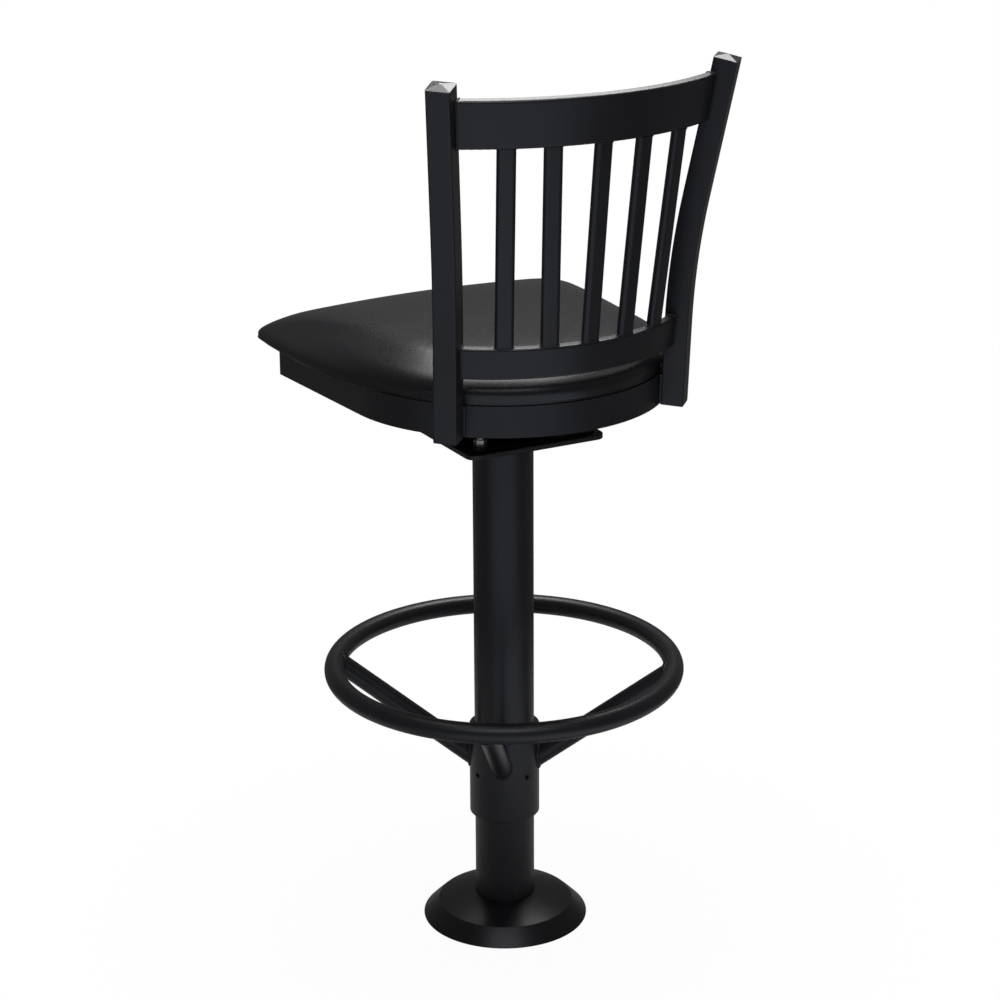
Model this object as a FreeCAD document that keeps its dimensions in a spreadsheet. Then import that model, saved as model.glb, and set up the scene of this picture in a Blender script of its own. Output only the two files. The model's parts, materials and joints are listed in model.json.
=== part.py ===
import FreeCAD, Part
import math
import os
import Sketcher
from FreeCAD import Placement, Rotation, Vector

# A bolt-down swivel bar stool: round column on a floor flange, height-adjustable foot ring,
# ball-bearing swivel, round-backed seat frame, upholstered pad and a slatted back.
# +Z is up, the origin is the column's axis at the floor, the sitter faces -Y.
# Turns in plan are counted in degrees from +Y towards +X.

DIMENSIONS = {
    # floor flange and column
    "flange_diameter": 172,
    "flange_thickness": 8,
    "flange_edge_bevel": 1.5,
    "flange_cable_hole": 28,
    "anchor_circle": 133,
    "anchor_hole": 13.5,
    "anchor_count": 4,
    "column_diameter": 76.2,
    "column_wall": 3,
    "column_top": 663,
    "column_weld_leg": 4,
    # square plate on top of the column
    "column_plate_width": 188,
    "column_plate_thickness": 6,
    "column_plate_corner": 14,
    "column_plate_edge": 0.8,
    # sheet cover over the floor flange
    "cover_diameter": 212.6,
    "cover_height": 31.6,
    "cover_shoulder_diameter": 173.5,
    "cover_shoulder_height": 20.1,
    "cover_skirt_bulge": 0.2,
    "cover_dome_bulge": 1,
    "cover_hem": 0.8,
    "cover_sheet": 1.5,
    "cover_turn_in_share": 0.7,
    "cover_turn_down_share": 0.9,
    "cover_clearance": 0.6,
    # foot ring with its collar and spokes
    "collar_diameter": 89.6,
    "collar_clearance": 0.4,
    "collar_bottom": 147,
    "collar_height": 122,
    "collar_edge_bevel": 1,
    "ring_circle": 431.8,
    "ring_tube": 25.4,
    "ring_wall": 2,
    "ring_level": 348.5,
    "ring_vent": 6,
    "spoke_tube": 25,
    "spoke_wall": 2,
    "spoke_rise": 124,
    "spoke_turn": 33.6,
    "spoke_count": 4,
    "set_screw_diameter": 8,
    "set_screw_level": 207,
    "set_screw_recess": 0.8,
    "set_screw_socket": 4,
    "set_screw_socket_depth": 3,
    "set_screw_clearance": 0.05,
    "set_screw_tip_gap": 0.2,
    # ball-bearing swivel
    "swivel_width": 171,
    "swivel_sheet": 3,
    "swivel_corner": 12,
    "dish_rim_diameter": 132,
    "dish_floor_diameter": 112,
    "ball_diameter": 9.5,
    "ball_circle": 90,
    "ball_count": 18,
    "race_gap": 7.5,
    "race_clearance": 0.15,
    "cage_thickness": 2,
    "cage_width": 16,
    "pin_diameter": 12,
    "pin_head_diameter": 20,
    "pin_head_height": 6,
    "pin_clearance": 0.1,
    "pin_nut_across_flats": 18,
    "pin_nut_height": 9,
    "pin_nut_clearance": 0.3,
    # bolts through the two plates of the swivel
    "bolt_spacing": 134,
    "bolt_diameter": 9.5,
    "bolt_hole": 10.3,
    "bolt_across_flats": 14.3,
    "hex_sides": 6,
    "bolt_head_height": 6.4,
    "bolt_nut_height": 8,
    "bolt_tail": 2,
    # seat frame
    "frame_bottom": 716.2,
    "band_height": 38.1,
    "band_thickness": 4.8,
    "frame_rear_radius": 201,
    "frame_front_half_width": 214,
    "frame_front_reach": 190,
    "cross_tube_side": 25.4,
    "cross_tube_wall": 1.6,
    "cross_tube_corner": 2,
    "board_tab_length": 30,
    "board_tab_width": 24,
    "board_tab_thickness": 4,
    "rear_tab_turn": 38,
    "front_tab_setback": 40,
    "board_screw_diameter": 5,
    "board_screw_head": 10,
    "board_screw_head_height": 3,
    "board_screw_length": 13,
    "board_screw_clearance": 0.25,
    # plywood seat board and padded cushion
    "board_thickness": 12,
    "board_inset": 3,
    "board_corner": 10,
    "board_front_bow": 1,
    "board_front_overhang": 28,
    "board_swing_share": 0.01,
    "pad_clearance": 0.3,
    "pad_height": 50,
    # back posts
    "post_side": 28.6,
    "post_wall": 1.6,
    "post_corner": 2.2,
    "post_turn": 45.5,
    "post_bottom": 717,
    "post_bend_level": 895.5,
    "post_bend_radius": 960,
    "post_top": 1137.5,
    "lower_lean_out_share": 0.0155,
    "lower_lean_back_share": 0.0495,
    "upper_lean_out_share": 0.1185,
    "upper_lean_back_share": 0.1845,
    "cap_rim": 1.8,
    "cap_peak": 3.6,
    "cap_flat": 3,
    "plug_flange": 1.6,
    "insert_depth": 11,
    "insert_clearance": 0.25,
    "insert_wall": 2,
    # rails and slats of the back; a rail's middle is how far it sits behind the seat frame
    "rail_thickness": 12.7,
    "rail_wall": 1.6,
    "rail_corner": 3,
    "rail_end_clearance": 0.1,
    "top_rail_height": 57.2,
    "top_rail_top": 1121.8,
    "top_rail_radius": 319,
    "top_rail_middle": 55.8,
    "top_rail_tilt": 10.4,
    "lower_rail_height": 38.1,
    "lower_rail_top": 828.2,
    "lower_rail_radius": 236,
    "lower_rail_middle": 17,
    "lower_rail_tilt": 6.4,
    "slat_width": 22.2,
    "slat_thickness": 11.1,
    "slat_wall": 1.2,
    "slat_top_spacing": 56,
    "slat_bottom_spacing": 50,
    "slat_drift": 5,
    # how far a cutting shape runs past what it cuts
    "overrun": 6,
}

# Sections of the pad from its underside to its crown: height, rear radius, half width and reach
# of the front corner, corner rounding and bow of the front edge, each a share of the pad's height
# or of the frame's own size, and the sides' swing as a share of a quarter turn.
PAD_SECTION_SHARES = (
    (0.00, 0.997, 1.005, 1.160, 0.057, 0.031, 0.228),
    (0.06, 1.003, 1.059, 1.202, 0.062, 0.034, 0.175),
    (0.14, 1.008, 1.069, 1.217, 0.068, 0.037, 0.134),
    (0.24, 1.009, 1.059, 1.232, 0.070, 0.039, 0.092),
    (0.34, 1.010, 1.006, 1.239, 0.085, 0.040, 0.052),
    (0.46, 1.006, 0.935, 1.232, 0.115, 0.046, 0.021),
    (0.58, 0.992, 0.877, 1.191, 0.163, 0.052, -0.004),
    (0.69, 0.970, 0.813, 1.095, 0.227, 0.061, -0.016),
    (0.78, 0.935, 0.758, 1.001, 0.293, 0.069, -0.021),
    (0.86, 0.880, 0.702, 0.910, 0.349, 0.069, -0.018),
    (0.92, 0.790, 0.629, 0.808, 0.374, 0.057, -0.011),
    (0.965, 0.650, 0.514, 0.659, 0.337, 0.041, -0.005),
    (0.99, 0.440, 0.342, 0.443, 0.250, 0.025, 0.003),
    (1.00, 0.190, 0.144, 0.190, 0.122, 0.011, 0.006),
)

# How much of the drift each slat's top takes, from the sitter's left.
SLAT_DRIFT_SHARES = (0, 1, 0, 0, 0)

doc = FreeCAD.newDocument("bar_stool")
sizes = doc.addObject("Spreadsheet::Sheet", "sizes")
for row, (alias, value) in enumerate(DIMENSIONS.items(), start=1):
    sizes.set("A%d" % row, alias)
    sizes.set("B%d" % row, str(value))
    sizes.setAlias("B%d" % row, alias)
doc.recompute()

UP = Vector(0, 0, 1)
ORIGIN = Vector(0, 0, 0)
nodes = []


def size(alias):
    return float(getattr(sizes, alias))


def heading(turn, reach=1, level=0):
    # a point that far from the column's axis, or a unit direction
    angle = math.radians(turn)
    return Vector(reach * math.sin(angle), reach * math.cos(angle), level)


def bound(kind, name, formulas):
    made = doc.addObject(kind, name)
    for path, formula in formulas.items():
        made.setExpression(path, formula)
    return made


def keep(made, name):
    made.Label = name
    nodes.append(made)
    return made


def keep_shape(name, shape, place=Placement()):
    made = doc.addObject("Part::Feature", name)
    made.Shape = shape
    made.Placement = place
    return keep(made, name)


def cut(name, base, tool):
    made = doc.addObject("Part::Cut", name)
    made.Base = base
    made.Tool = tool
    return made


def new_sketch(body, name, role):
    sketch = body.newObject("Sketcher::SketchObject", name)
    plane = [feature for feature in body.Origin.OriginFeatures if feature.Role == role][0]
    sketch.AttachmentSupport = (plane, [""])
    sketch.MapMode = "FlatFace"
    return sketch


def add_circle(sketch, name, diameter, centre_formula=None):
    # a circle at the sketch's origin, or out along its horizontal axis
    index = sketch.addGeometry(Part.Circle(Vector(0, 0, 0), UP, size(diameter) / 2), False)
    if centre_formula is None:
        sketch.addConstraint(Sketcher.Constraint("Coincident", index, 3, -1, 1))
    else:
        sketch.addConstraint(Sketcher.Constraint("PointOnObject", index, 3, -1))
        place = sketch.addConstraint(Sketcher.Constraint("DistanceX", -1, 1, index, 3, 1))
        sketch.renameConstraint(place, name + "_place")
        sketch.setExpression(".Constraints." + name + "_place", centre_formula)
    width = sketch.addConstraint(Sketcher.Constraint("Diameter", index, size(diameter)))
    sketch.renameConstraint(width, name + "_diameter")
    sketch.setExpression(".Constraints." + name + "_diameter", "sizes." + diameter)
    return index


def pad(body, name, sketch, formula):
    feature = body.newObject("PartDesign::Pad", name)
    feature.Profile = sketch
    feature.setExpression("Length", formula)
    return feature


def pocket(body, name, sketch, formula):
    # cuts upwards, from the plane of the sketch into the solid above it
    feature = body.newObject("PartDesign::Pocket", name)
    feature.Profile = sketch
    feature.Reversed = True
    feature.setExpression("Length", formula)
    return feature


def ring_pattern(body, name, feature, count):
    pattern = body.newObject("PartDesign::PolarPattern", name)
    pattern.Originals = [feature]
    axis = [line for line in body.Origin.OriginFeatures if line.Role == "Z_Axis"][0]
    pattern.Axis = (axis, [""])
    pattern.Angle = 360
    pattern.setExpression("Occurrences", "sizes." + count)
    body.Tip = pattern
    return pattern


def rounded_rectangle(middle, across, along, width, depth, radius):
    half_width = width / 2 - radius
    half_depth = depth / 2 - radius
    arcs = []
    for quarter, (side, end) in enumerate(((1, 1), (-1, 1), (-1, -1), (1, -1))):
        centre = middle + across * (side * half_width) + along * (end * half_depth)
        points = []
        for degrees in (90 * quarter, 90 * quarter + 45, 90 * quarter + 90):
            angle = math.radians(degrees)
            points.append(centre + across * (radius * math.cos(angle)) + along * (radius * math.sin(angle)))
        arcs.append(points)
    edges = []
    for quarter, points in enumerate(arcs):
        edges.append(Part.Arc(*points).toShape())
        straight = half_width if quarter % 2 == 0 else half_depth
        if straight > 0:
            edges.append(Part.makeLine(points[2], arcs[(quarter + 1) % 4][0]))
    return Part.Wire(edges)


def square_plate(width, corner, bottom, thickness):
    outline = rounded_rectangle(Vector(0, 0, bottom), Vector(1, 0, 0), Vector(0, 1, 0), width, width, corner)
    return Part.Face(outline).extrude(UP * thickness)


def revolved(points, centre=ORIGIN):
    # closed profile of (radius, level) points turned about a vertical axis
    corners = [centre + Vector(radius, 0, level) for radius, level in points]
    profile = Part.makePolygon(corners + corners[:1])
    return Part.Face(profile).revolve(centre, UP, 360)


def hexagon(across_flats, bottom, height, centre):
    # the corners lie on a circle, the flats touch a smaller one
    sides = int(size("hex_sides"))
    radius = across_flats / 2 / math.cos(math.pi / sides)
    corners = [centre + heading(360 / sides * step, radius, bottom) for step in range(sides)]
    return Part.Face(Part.makePolygon(corners + corners[:1])).extrude(UP * height)


def rod(diameter, bottom, top, centre=ORIGIN):
    return Part.makeCylinder(diameter / 2, top - bottom, centre + Vector(0, 0, bottom))


def bolt_places():
    half = size("bolt_spacing") / 2
    return [Vector(side * half, end * half, 0) for side in (1, -1) for end in (1, -1)]


def largest(shape):
    return max(shape.Solids, key=lambda solid: solid.Volume)


# Floor flange: a bevelled disc with anchor holes and a cable hole

def make_floor_flange():
    body = doc.addObject("PartDesign::Body", "floor_flange")
    disc = new_sketch(body, "flange_disc_sketch", "XY_Plane")
    add_circle(disc, "rim", "flange_diameter")
    add_circle(disc, "cable", "flange_cable_hole")
    plate = pad(body, "flange_disc", disc, "sizes.flange_thickness")
    hole = new_sketch(body, "anchor_sketch", "XY_Plane")
    add_circle(hole, "anchor", "anchor_hole", "sizes.anchor_circle / 2")
    drilled = pocket(body, "anchor_hole", hole, "sizes.flange_thickness + sizes.overrun")
    doc.recompute()
    if drilled.Shape.Volume >= plate.Shape.Volume:
        raise RuntimeError("the anchor hole cuts nothing")
    holes = ring_pattern(body, "anchor_holes", drilled, "anchor_count")
    doc.recompute()
    rim = rim_edge(holes.Shape, size("flange_diameter") / 2, size("flange_thickness"))
    bevel = body.newObject("PartDesign::Chamfer", "flange_bevel")
    bevel.Base = (holes, [rim])
    bevel.setExpression("Size", "sizes.flange_edge_bevel")
    body.Tip = bevel
    body.setExpression("Placement.Rotation.Angle", "45")
    return keep(body, "floor_flange")


def rim_edge(shape, radius, level):
    # name of the round edge nearest to that radius and level
    misses = []
    for number, edge in enumerate(shape.Edges, start=1):
        if hasattr(edge.Curve, "Radius"):
            miss = abs(edge.Curve.Radius - radius) + abs(edge.CenterOfMass.z - level)
            misses.append((miss, "Edge%d" % number))
    return min(misses)[1]


# Column: a round tube on the flange, with its fillet weld

def make_column():
    outer = bound("Part::Cylinder", "column_outer", {
        "Radius": "sizes.column_diameter / 2",
        "Height": "sizes.column_top - sizes.flange_thickness",
        "Placement.Base.z": "sizes.flange_thickness"})
    inner = bound("Part::Cylinder", "column_bore", {
        "Radius": "sizes.column_diameter / 2 - sizes.column_wall",
        "Height": "sizes.column_top",
        "Placement.Base.z": "sizes.flange_thickness - sizes.overrun"})
    keep(cut("column", outer, inner), "column")
    radius = size("column_diameter") / 2
    foot = size("flange_thickness")
    leg = size("column_weld_leg")
    keep_shape("column_foot_weld", revolved([(radius, foot), (radius + leg, foot), (radius, foot + leg)]))


def column_plate_top():
    return size("column_top") + size("column_plate_thickness")


def make_column_plate():
    plate = square_plate(size("column_plate_width"), size("column_plate_corner"), size("column_top"),
                         size("column_plate_thickness"))
    top_edges = [edge for edge in plate.Edges
                 if edge.BoundBox.ZMin > column_plate_top() - size("column_plate_edge")]
    plate = plate.makeChamfer(size("column_plate_edge"), top_edges)
    for place in bolt_places():
        plate = plate.cut(rod(size("bolt_hole"), size("column_top") - size("overrun"),
                              column_plate_top() + size("overrun"), place))
    keep_shape("column_plate", plate)


# Flange cover: a spun sheet bell that slides on the column

def cover_profile(inset):
    # outer line of the bell from hem to neck, moved inwards by a sheet
    rim = size("cover_diameter") / 2 - inset
    shoulder = size("cover_shoulder_diameter") / 2 - inset * size("cover_turn_in_share")
    shoulder_level = size("cover_shoulder_height") - inset * size("cover_turn_down_share")
    neck = size("column_diameter") / 2 + size("cover_clearance")
    top = size("cover_height") - inset
    hem = size("cover_hem")
    skirt_bulge = size("cover_skirt_bulge")
    dome_bulge = size("cover_dome_bulge")
    skirt_middle = Vector((rim + shoulder) / 2 + skirt_bulge, 0, (hem + shoulder_level) / 2 + skirt_bulge)
    dome_middle = Vector((shoulder + neck) / 2, 0, (shoulder_level + top) / 2 + dome_bulge)
    hem_low = Vector(rim, 0, 0)
    hem_top = Vector(rim, 0, hem)
    turn = Vector(shoulder, 0, shoulder_level)
    neck_top = Vector(neck, 0, top)
    return hem_low, hem_top, skirt_middle, turn, dome_middle, neck_top


def make_flange_cover():
    outer = cover_profile(0)
    inner = cover_profile(size("cover_sheet"))
    edges = [
        Part.makeLine(outer[0], outer[1]),
        Part.Arc(outer[1], outer[2], outer[3]).toShape(),
        Part.Arc(outer[3], outer[4], outer[5]).toShape(),
        Part.makeLine(outer[5], inner[5]),
        Part.Arc(inner[5], inner[4], inner[3]).toShape(),
        Part.Arc(inner[3], inner[2], inner[1]).toShape(),
        Part.makeLine(inner[1], inner[0]),
        Part.makeLine(inner[0], outer[0]),
    ]
    keep_shape("flange_cover", Part.Face(Part.Wire(edges)).revolve(ORIGIN, UP, 360))


# Foot ring: collar, hollow ring, four rising spokes and the set screws

def screw_turns():
    step = 360 / size("spoke_count")
    return [size("spoke_turn") + step * (number + 0.5) for number in range(int(size("spoke_count")))]


def spoke_ends(number):
    turn = size("spoke_turn") + 360 / size("spoke_count") * number
    ring_radius = size("ring_circle") / 2
    collar_radius = size("collar_diameter") / 2
    slope = size("spoke_rise") / (ring_radius - collar_radius)
    outer_end = heading(turn, ring_radius, size("ring_level"))
    start = collar_radius - size("spoke_tube")
    inner_end = heading(turn, start, size("ring_level") - slope * (ring_radius - start))
    return inner_end, outer_end


def make_collar():
    radius = size("collar_diameter") / 2
    bore = size("column_diameter") / 2 + size("collar_clearance")
    bottom = size("collar_bottom")
    top = bottom + size("collar_height")
    bevel = size("collar_edge_bevel")
    sleeve = revolved([(bore, bottom), (radius - bevel, bottom), (radius, bottom + bevel),
                       (radius, top - bevel), (radius - bevel, top), (bore, top)])
    hole = size("set_screw_diameter") / 2 + size("set_screw_clearance")
    for turn in screw_turns():
        start = heading(turn, 0, size("set_screw_level"))
        sleeve = sleeve.cut(Part.makeCylinder(hole, radius + size("overrun"), start, heading(turn)))
    keep_shape("ring_collar", sleeve)


def make_foot_ring():
    outer = bound("Part::Torus", "ring_outer", {
        "Radius1": "sizes.ring_circle / 2",
        "Radius2": "sizes.ring_tube / 2",
        "Placement.Base.z": "sizes.ring_level"})
    inner = bound("Part::Torus", "ring_bore", {
        "Radius1": "sizes.ring_circle / 2",
        "Radius2": "sizes.ring_tube / 2 - sizes.ring_wall",
        "Placement.Base.z": "sizes.ring_level"})
    tube = cut("ring_tube_shell", outer, inner)
    vents = []
    for number in range(int(size("spoke_count"))):
        inner_end, outer_end = spoke_ends(number)
        back = (inner_end - outer_end).normalize()
        vents.append(Part.makeCylinder(size("ring_vent") / 2, size("ring_tube"), outer_end, back))
    drills = doc.addObject("Part::Feature", "ring_vents")
    drills.Shape = Part.makeCompound(vents)
    keep(cut("foot_ring", tube, drills), "foot_ring")


def make_spokes():
    ring_centre = Vector(0, 0, size("ring_level"))
    ring_solid = Part.makeTorus(size("ring_circle") / 2, size("ring_tube") / 2, ring_centre)
    collar_solid = rod(size("collar_diameter"), size("collar_bottom"),
                       size("collar_bottom") + size("collar_height"))
    for number in range(int(size("spoke_count"))):
        inner_end, outer_end = spoke_ends(number)
        along = outer_end - inner_end
        tube = Part.makeCylinder(size("spoke_tube") / 2, along.Length, inner_end, along)
        bore = Part.makeCylinder(size("spoke_tube") / 2 - size("spoke_wall"), along.Length, inner_end, along)
        spoke = tube.cut(bore).cut(ring_solid).cut(collar_solid)
        keep_shape("foot_spoke_%d" % (number + 1), largest(spoke))


def make_set_screws():
    outer = size("collar_diameter") / 2 - size("set_screw_recess")
    inner = size("column_diameter") / 2 + size("set_screw_tip_gap")
    sides = int(size("hex_sides"))
    socket_radius = size("set_screw_socket") / 2 / math.cos(math.pi / sides)
    screws = []
    for turn in screw_turns():
        out = heading(turn)
        level = Vector(0, 0, size("set_screw_level"))
        screw = Part.makeCylinder(size("set_screw_diameter") / 2, outer - inner, level + out * inner, out)
        floor = level + out * (outer - size("set_screw_socket_depth"))
        side = out.cross(UP)
        corners = []
        for step in range(sides):
            angle = 2 * math.pi / sides * step
            spoke = side * math.cos(angle) + UP * math.sin(angle)
            corners.append(floor + spoke * socket_radius)
        socket = Part.Face(Part.makePolygon(corners + corners[:1]))
        screws.append(screw.cut(socket.extrude(out * (size("set_screw_socket_depth") + size("overrun")))))
    keep_shape("ring_set_screws", Part.makeCompound(screws))


# Swivel: two dished plates, a caged ring of balls between them and a king pin

def swivel_middle():
    return (column_plate_top() + size("frame_bottom")) / 2


def dished_plate(flange_low, flange_high, floor_low, floor_high):
    # square flange with a round dish; the dish floor lies above or below the flange
    sheet = size("swivel_sheet")
    hole = size("pin_diameter") / 2 + size("pin_clearance")
    rim = size("dish_rim_diameter") / 2
    floor = size("dish_floor_diameter") / 2
    outside = rim + sheet
    if floor_low > flange_low:
        inner_line = [(hole, floor_low), (floor - sheet, floor_low), (rim - sheet, flange_low)]
        outer_line = [(rim, flange_high), (floor, floor_high), (hole, floor_high)]
        dish = inner_line + [(outside, flange_low), (outside, flange_high)] + outer_line
    else:
        inner_line = [(hole, floor_low), (floor, floor_low), (rim, flange_low)]
        outer_line = [(rim - sheet, flange_high), (floor - sheet, floor_high), (hole, floor_high)]
        dish = inner_line + [(outside, flange_low), (outside, flange_high)] + outer_line
    flange = square_plate(size("swivel_width"), size("swivel_corner"), flange_low, sheet)
    flange = flange.cut(rod(2 * outside, flange_low - size("overrun"), flange_high + size("overrun")))
    plate = flange.fuse(revolved(dish)).removeSplitter()
    for place in bolt_places():
        plate = plate.cut(rod(size("bolt_hole"), flange_low - size("overrun"),
                              flange_high + size("overrun"), place))
    groove = Part.makeTorus(size("ball_circle") / 2, size("ball_diameter") / 2 + size("race_clearance"),
                            Vector(0, 0, swivel_middle()))
    return plate.cut(groove)


def make_swivel_plates():
    sheet = size("swivel_sheet")
    half_gap = size("race_gap") / 2
    low = column_plate_top()
    high = size("frame_bottom")
    lower_floor = swivel_middle() - half_gap
    upper_floor = swivel_middle() + half_gap
    keep_shape("swivel_lower_plate", dished_plate(low, low + sheet, lower_floor - sheet, lower_floor))
    keep_shape("swivel_upper_plate", dished_plate(high - sheet, high, upper_floor, upper_floor + sheet))


def make_king_pin():
    sheet = size("swivel_sheet")
    underside = swivel_middle() - size("race_gap") / 2 - sheet
    nut_seat = swivel_middle() + size("race_gap") / 2 + sheet + size("pin_nut_clearance")
    nut_top = nut_seat + size("pin_nut_height")
    head = rod(size("pin_head_diameter"), underside - size("pin_head_height"), underside)
    shank = rod(size("pin_diameter"), underside - size("pin_head_height"), nut_top + size("bolt_tail"))
    keep_shape("king_pin", head.fuse(shank).removeSplitter())
    nut = hexagon(size("pin_nut_across_flats"), nut_seat, size("pin_nut_height"), ORIGIN)
    keep_shape("king_pin_nut", nut.cut(rod(size("pin_diameter"), nut_seat - sheet, nut_top + sheet)))


def make_cage_and_balls():
    inner = size("ball_circle") - size("cage_width")
    outer = size("ball_circle") + size("cage_width")
    low = swivel_middle() - size("cage_thickness") / 2
    high = swivel_middle() + size("cage_thickness") / 2
    cage = rod(outer, low, high).cut(rod(inner, low - size("overrun"), high + size("overrun")))
    balls = []
    for number in range(int(size("ball_count"))):
        place = heading(360 / size("ball_count") * number, size("ball_circle") / 2)
        pocket_width = size("ball_diameter") + 2 * size("race_clearance")
        cage = cage.cut(rod(pocket_width, low - size("overrun"), high + size("overrun"), place))
        balls.append(Part.makeSphere(size("ball_diameter") / 2, place + Vector(0, 0, swivel_middle())))
    keep_shape("ball_cage", cage)
    keep_shape("swivel_balls", Part.makeCompound(balls))


def hex_bolts(name, seat, tip):
    # heads below the seat level, shanks up to the tip level
    bolts = []
    for place in bolt_places():
        head_height = size("bolt_head_height")
        head = hexagon(size("bolt_across_flats"), seat - head_height, head_height, place)
        shank = rod(size("bolt_diameter"), seat - size("bolt_head_height"), tip, place)
        bolts.append(head.fuse(shank).removeSplitter())
    keep_shape(name, Part.makeCompound(bolts))


def hex_nuts(name, seat):
    nuts = []
    for place in bolt_places():
        nut = hexagon(size("bolt_across_flats"), seat, size("bolt_nut_height"), place)
        nuts.append(nut.cut(rod(size("bolt_diameter"), seat - size("overrun"),
                                seat + size("bolt_nut_height") + size("overrun"), place)))
    keep_shape(name, Part.makeCompound(nuts))


def make_swivel_bolts():
    lower_nut_seat = column_plate_top() + size("swivel_sheet")
    nut_and_tail = size("bolt_nut_height") + size("bolt_tail")
    hex_bolts("column_plate_bolts", size("column_top"), lower_nut_seat + nut_and_tail)
    hex_nuts("column_plate_nuts", lower_nut_seat)
    upper_nut_seat = size("frame_bottom") + size("cross_tube_side")
    hex_bolts("seat_bolts", size("frame_bottom") - size("swivel_sheet"), upper_nut_seat + nut_and_tail)
    hex_nuts("seat_nuts", upper_nut_seat)


# Seat frame: a bent flat band with a round back, a front bar and two cross tubes

def side_touch_angle():
    # angle above +X at which the straight side leaves the round back
    half_width = size("frame_front_half_width")
    reach = size("frame_front_reach")
    span = math.hypot(half_width, reach)
    return math.acos(size("frame_rear_radius") / span) - math.atan2(reach, half_width)


def frame_outline(inset, level):
    radius = size("frame_rear_radius") - inset
    angle = side_touch_angle()
    touch = Vector(radius * math.cos(angle), radius * math.sin(angle), level)
    forwards = Vector(math.sin(angle), -math.cos(angle), 0)
    front_line = inset - size("frame_front_reach")
    corner = touch + forwards * ((front_line - touch.y) / forwards.y)
    rear = Vector(0, radius, level)
    half_angle = (math.pi / 2 + angle) / 2
    quarter = Vector(radius * math.cos(half_angle), radius * math.sin(half_angle), level)
    mirrored = [Vector(-point.x, point.y, point.z) for point in (touch, corner, quarter)]
    return Part.Wire([
        Part.Arc(touch, quarter, rear).toShape(),
        Part.Arc(rear, mirrored[2], mirrored[0]).toShape(),
        Part.makeLine(mirrored[0], mirrored[1]),
        Part.makeLine(mirrored[1], corner),
        Part.makeLine(corner, touch),
    ])


def frame_prism(inset, bottom, height):
    return Part.Face(frame_outline(inset, bottom)).extrude(UP * height)


def make_seat_band():
    bottom = size("frame_bottom")
    thickness = size("band_thickness")
    room = frame_prism(thickness, bottom, size("band_height"))
    ring = frame_prism(0, bottom, size("band_height")).cut(room)
    reach = size("frame_front_reach")
    half_width = size("frame_front_half_width")
    margin = size("overrun")
    strip = Part.makeBox(2 * (half_width + margin), thickness + margin, size("band_height") + 2 * margin,
                         Vector(-half_width - margin, -reach - margin, bottom - margin))
    keep_shape("seat_frame_band", ring.cut(strip))
    keep_shape("seat_front_bar", ring.common(strip))


def make_cross_tubes():
    side = size("cross_tube_side")
    wall = size("cross_tube_wall")
    half_width = size("frame_front_half_width")
    middle_level = size("frame_bottom") + side / 2
    room = frame_prism(size("band_thickness"), size("frame_bottom"), size("band_height"))
    for name, place in (("rear_cross_tube", size("bolt_spacing") / 2),
                        ("front_cross_tube", -size("bolt_spacing") / 2)):
        middle = Vector(-half_width, place, middle_level)
        corner = size("cross_tube_corner")
        outline = rounded_rectangle(middle, Vector(0, 1, 0), UP, side, side, corner)
        inside = side - 2 * wall
        bore = rounded_rectangle(middle, Vector(0, 1, 0), UP, inside, inside, corner - wall)
        run = Vector(2 * half_width, 0, 0)
        tube = Part.Face(outline).extrude(run).cut(Part.Face(bore).extrude(run)).common(room)
        for bolt in bolt_places():
            if bolt.y * place > 0:
                tube = tube.cut(rod(size("bolt_hole"), middle_level - side, middle_level + side, bolt))
        keep_shape(name, tube)


def board_tab_places():
    # middle of each tab and the direction from it to the band
    inner = size("frame_rear_radius") - size("band_thickness")
    places = []
    for side in (1, -1):
        turn = side * size("rear_tab_turn")
        places.append((heading(turn, inner - size("board_tab_length") / 2), heading(turn)))
        front = size("board_tab_length") / 2 + size("band_thickness") - size("frame_front_reach")
        across = side * (size("frame_front_half_width") - size("front_tab_setback"))
        places.append((Vector(across, front, 0), Vector(0, -1, 0)))
    return places


def make_board_tabs():
    top = size("frame_bottom") + size("band_height")
    bottom = top - size("board_tab_thickness")
    room = frame_prism(size("band_thickness"), size("frame_bottom"), size("band_height"))
    tabs = []
    screws = []
    for place, out in board_tab_places():
        across = out.cross(UP)
        reach = size("board_tab_length") / 2
        middle = place + Vector(0, 0, bottom) + out * (size("overrun") / 2)
        outline = rounded_rectangle(middle, out, across, 2 * reach + size("overrun"),
                                    size("board_tab_width"), size("board_tab_thickness"))
        tab = Part.Face(outline).extrude(UP * size("board_tab_thickness")).common(room)
        hole = size("board_screw_diameter") + 2 * size("board_screw_clearance")
        tabs.append(tab.cut(rod(hole, bottom - size("overrun"), top + size("overrun"), place)))
        head_height = size("board_screw_head_height")
        head = rod(size("board_screw_head"), bottom - head_height, bottom, place)
        dome = [edge for edge in head.Edges if edge.BoundBox.ZMax < bottom - head_height / 2]
        head = head.makeFillet(head_height / 2, dome)
        shank = rod(size("board_screw_diameter"), bottom, bottom + size("board_screw_length"), place)
        screws.append(head.fuse(shank))
    keep_shape("board_tabs", Part.makeCompound(tabs))
    keep_shape("board_screws", Part.makeCompound(screws))


# Seat board and pad

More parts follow.
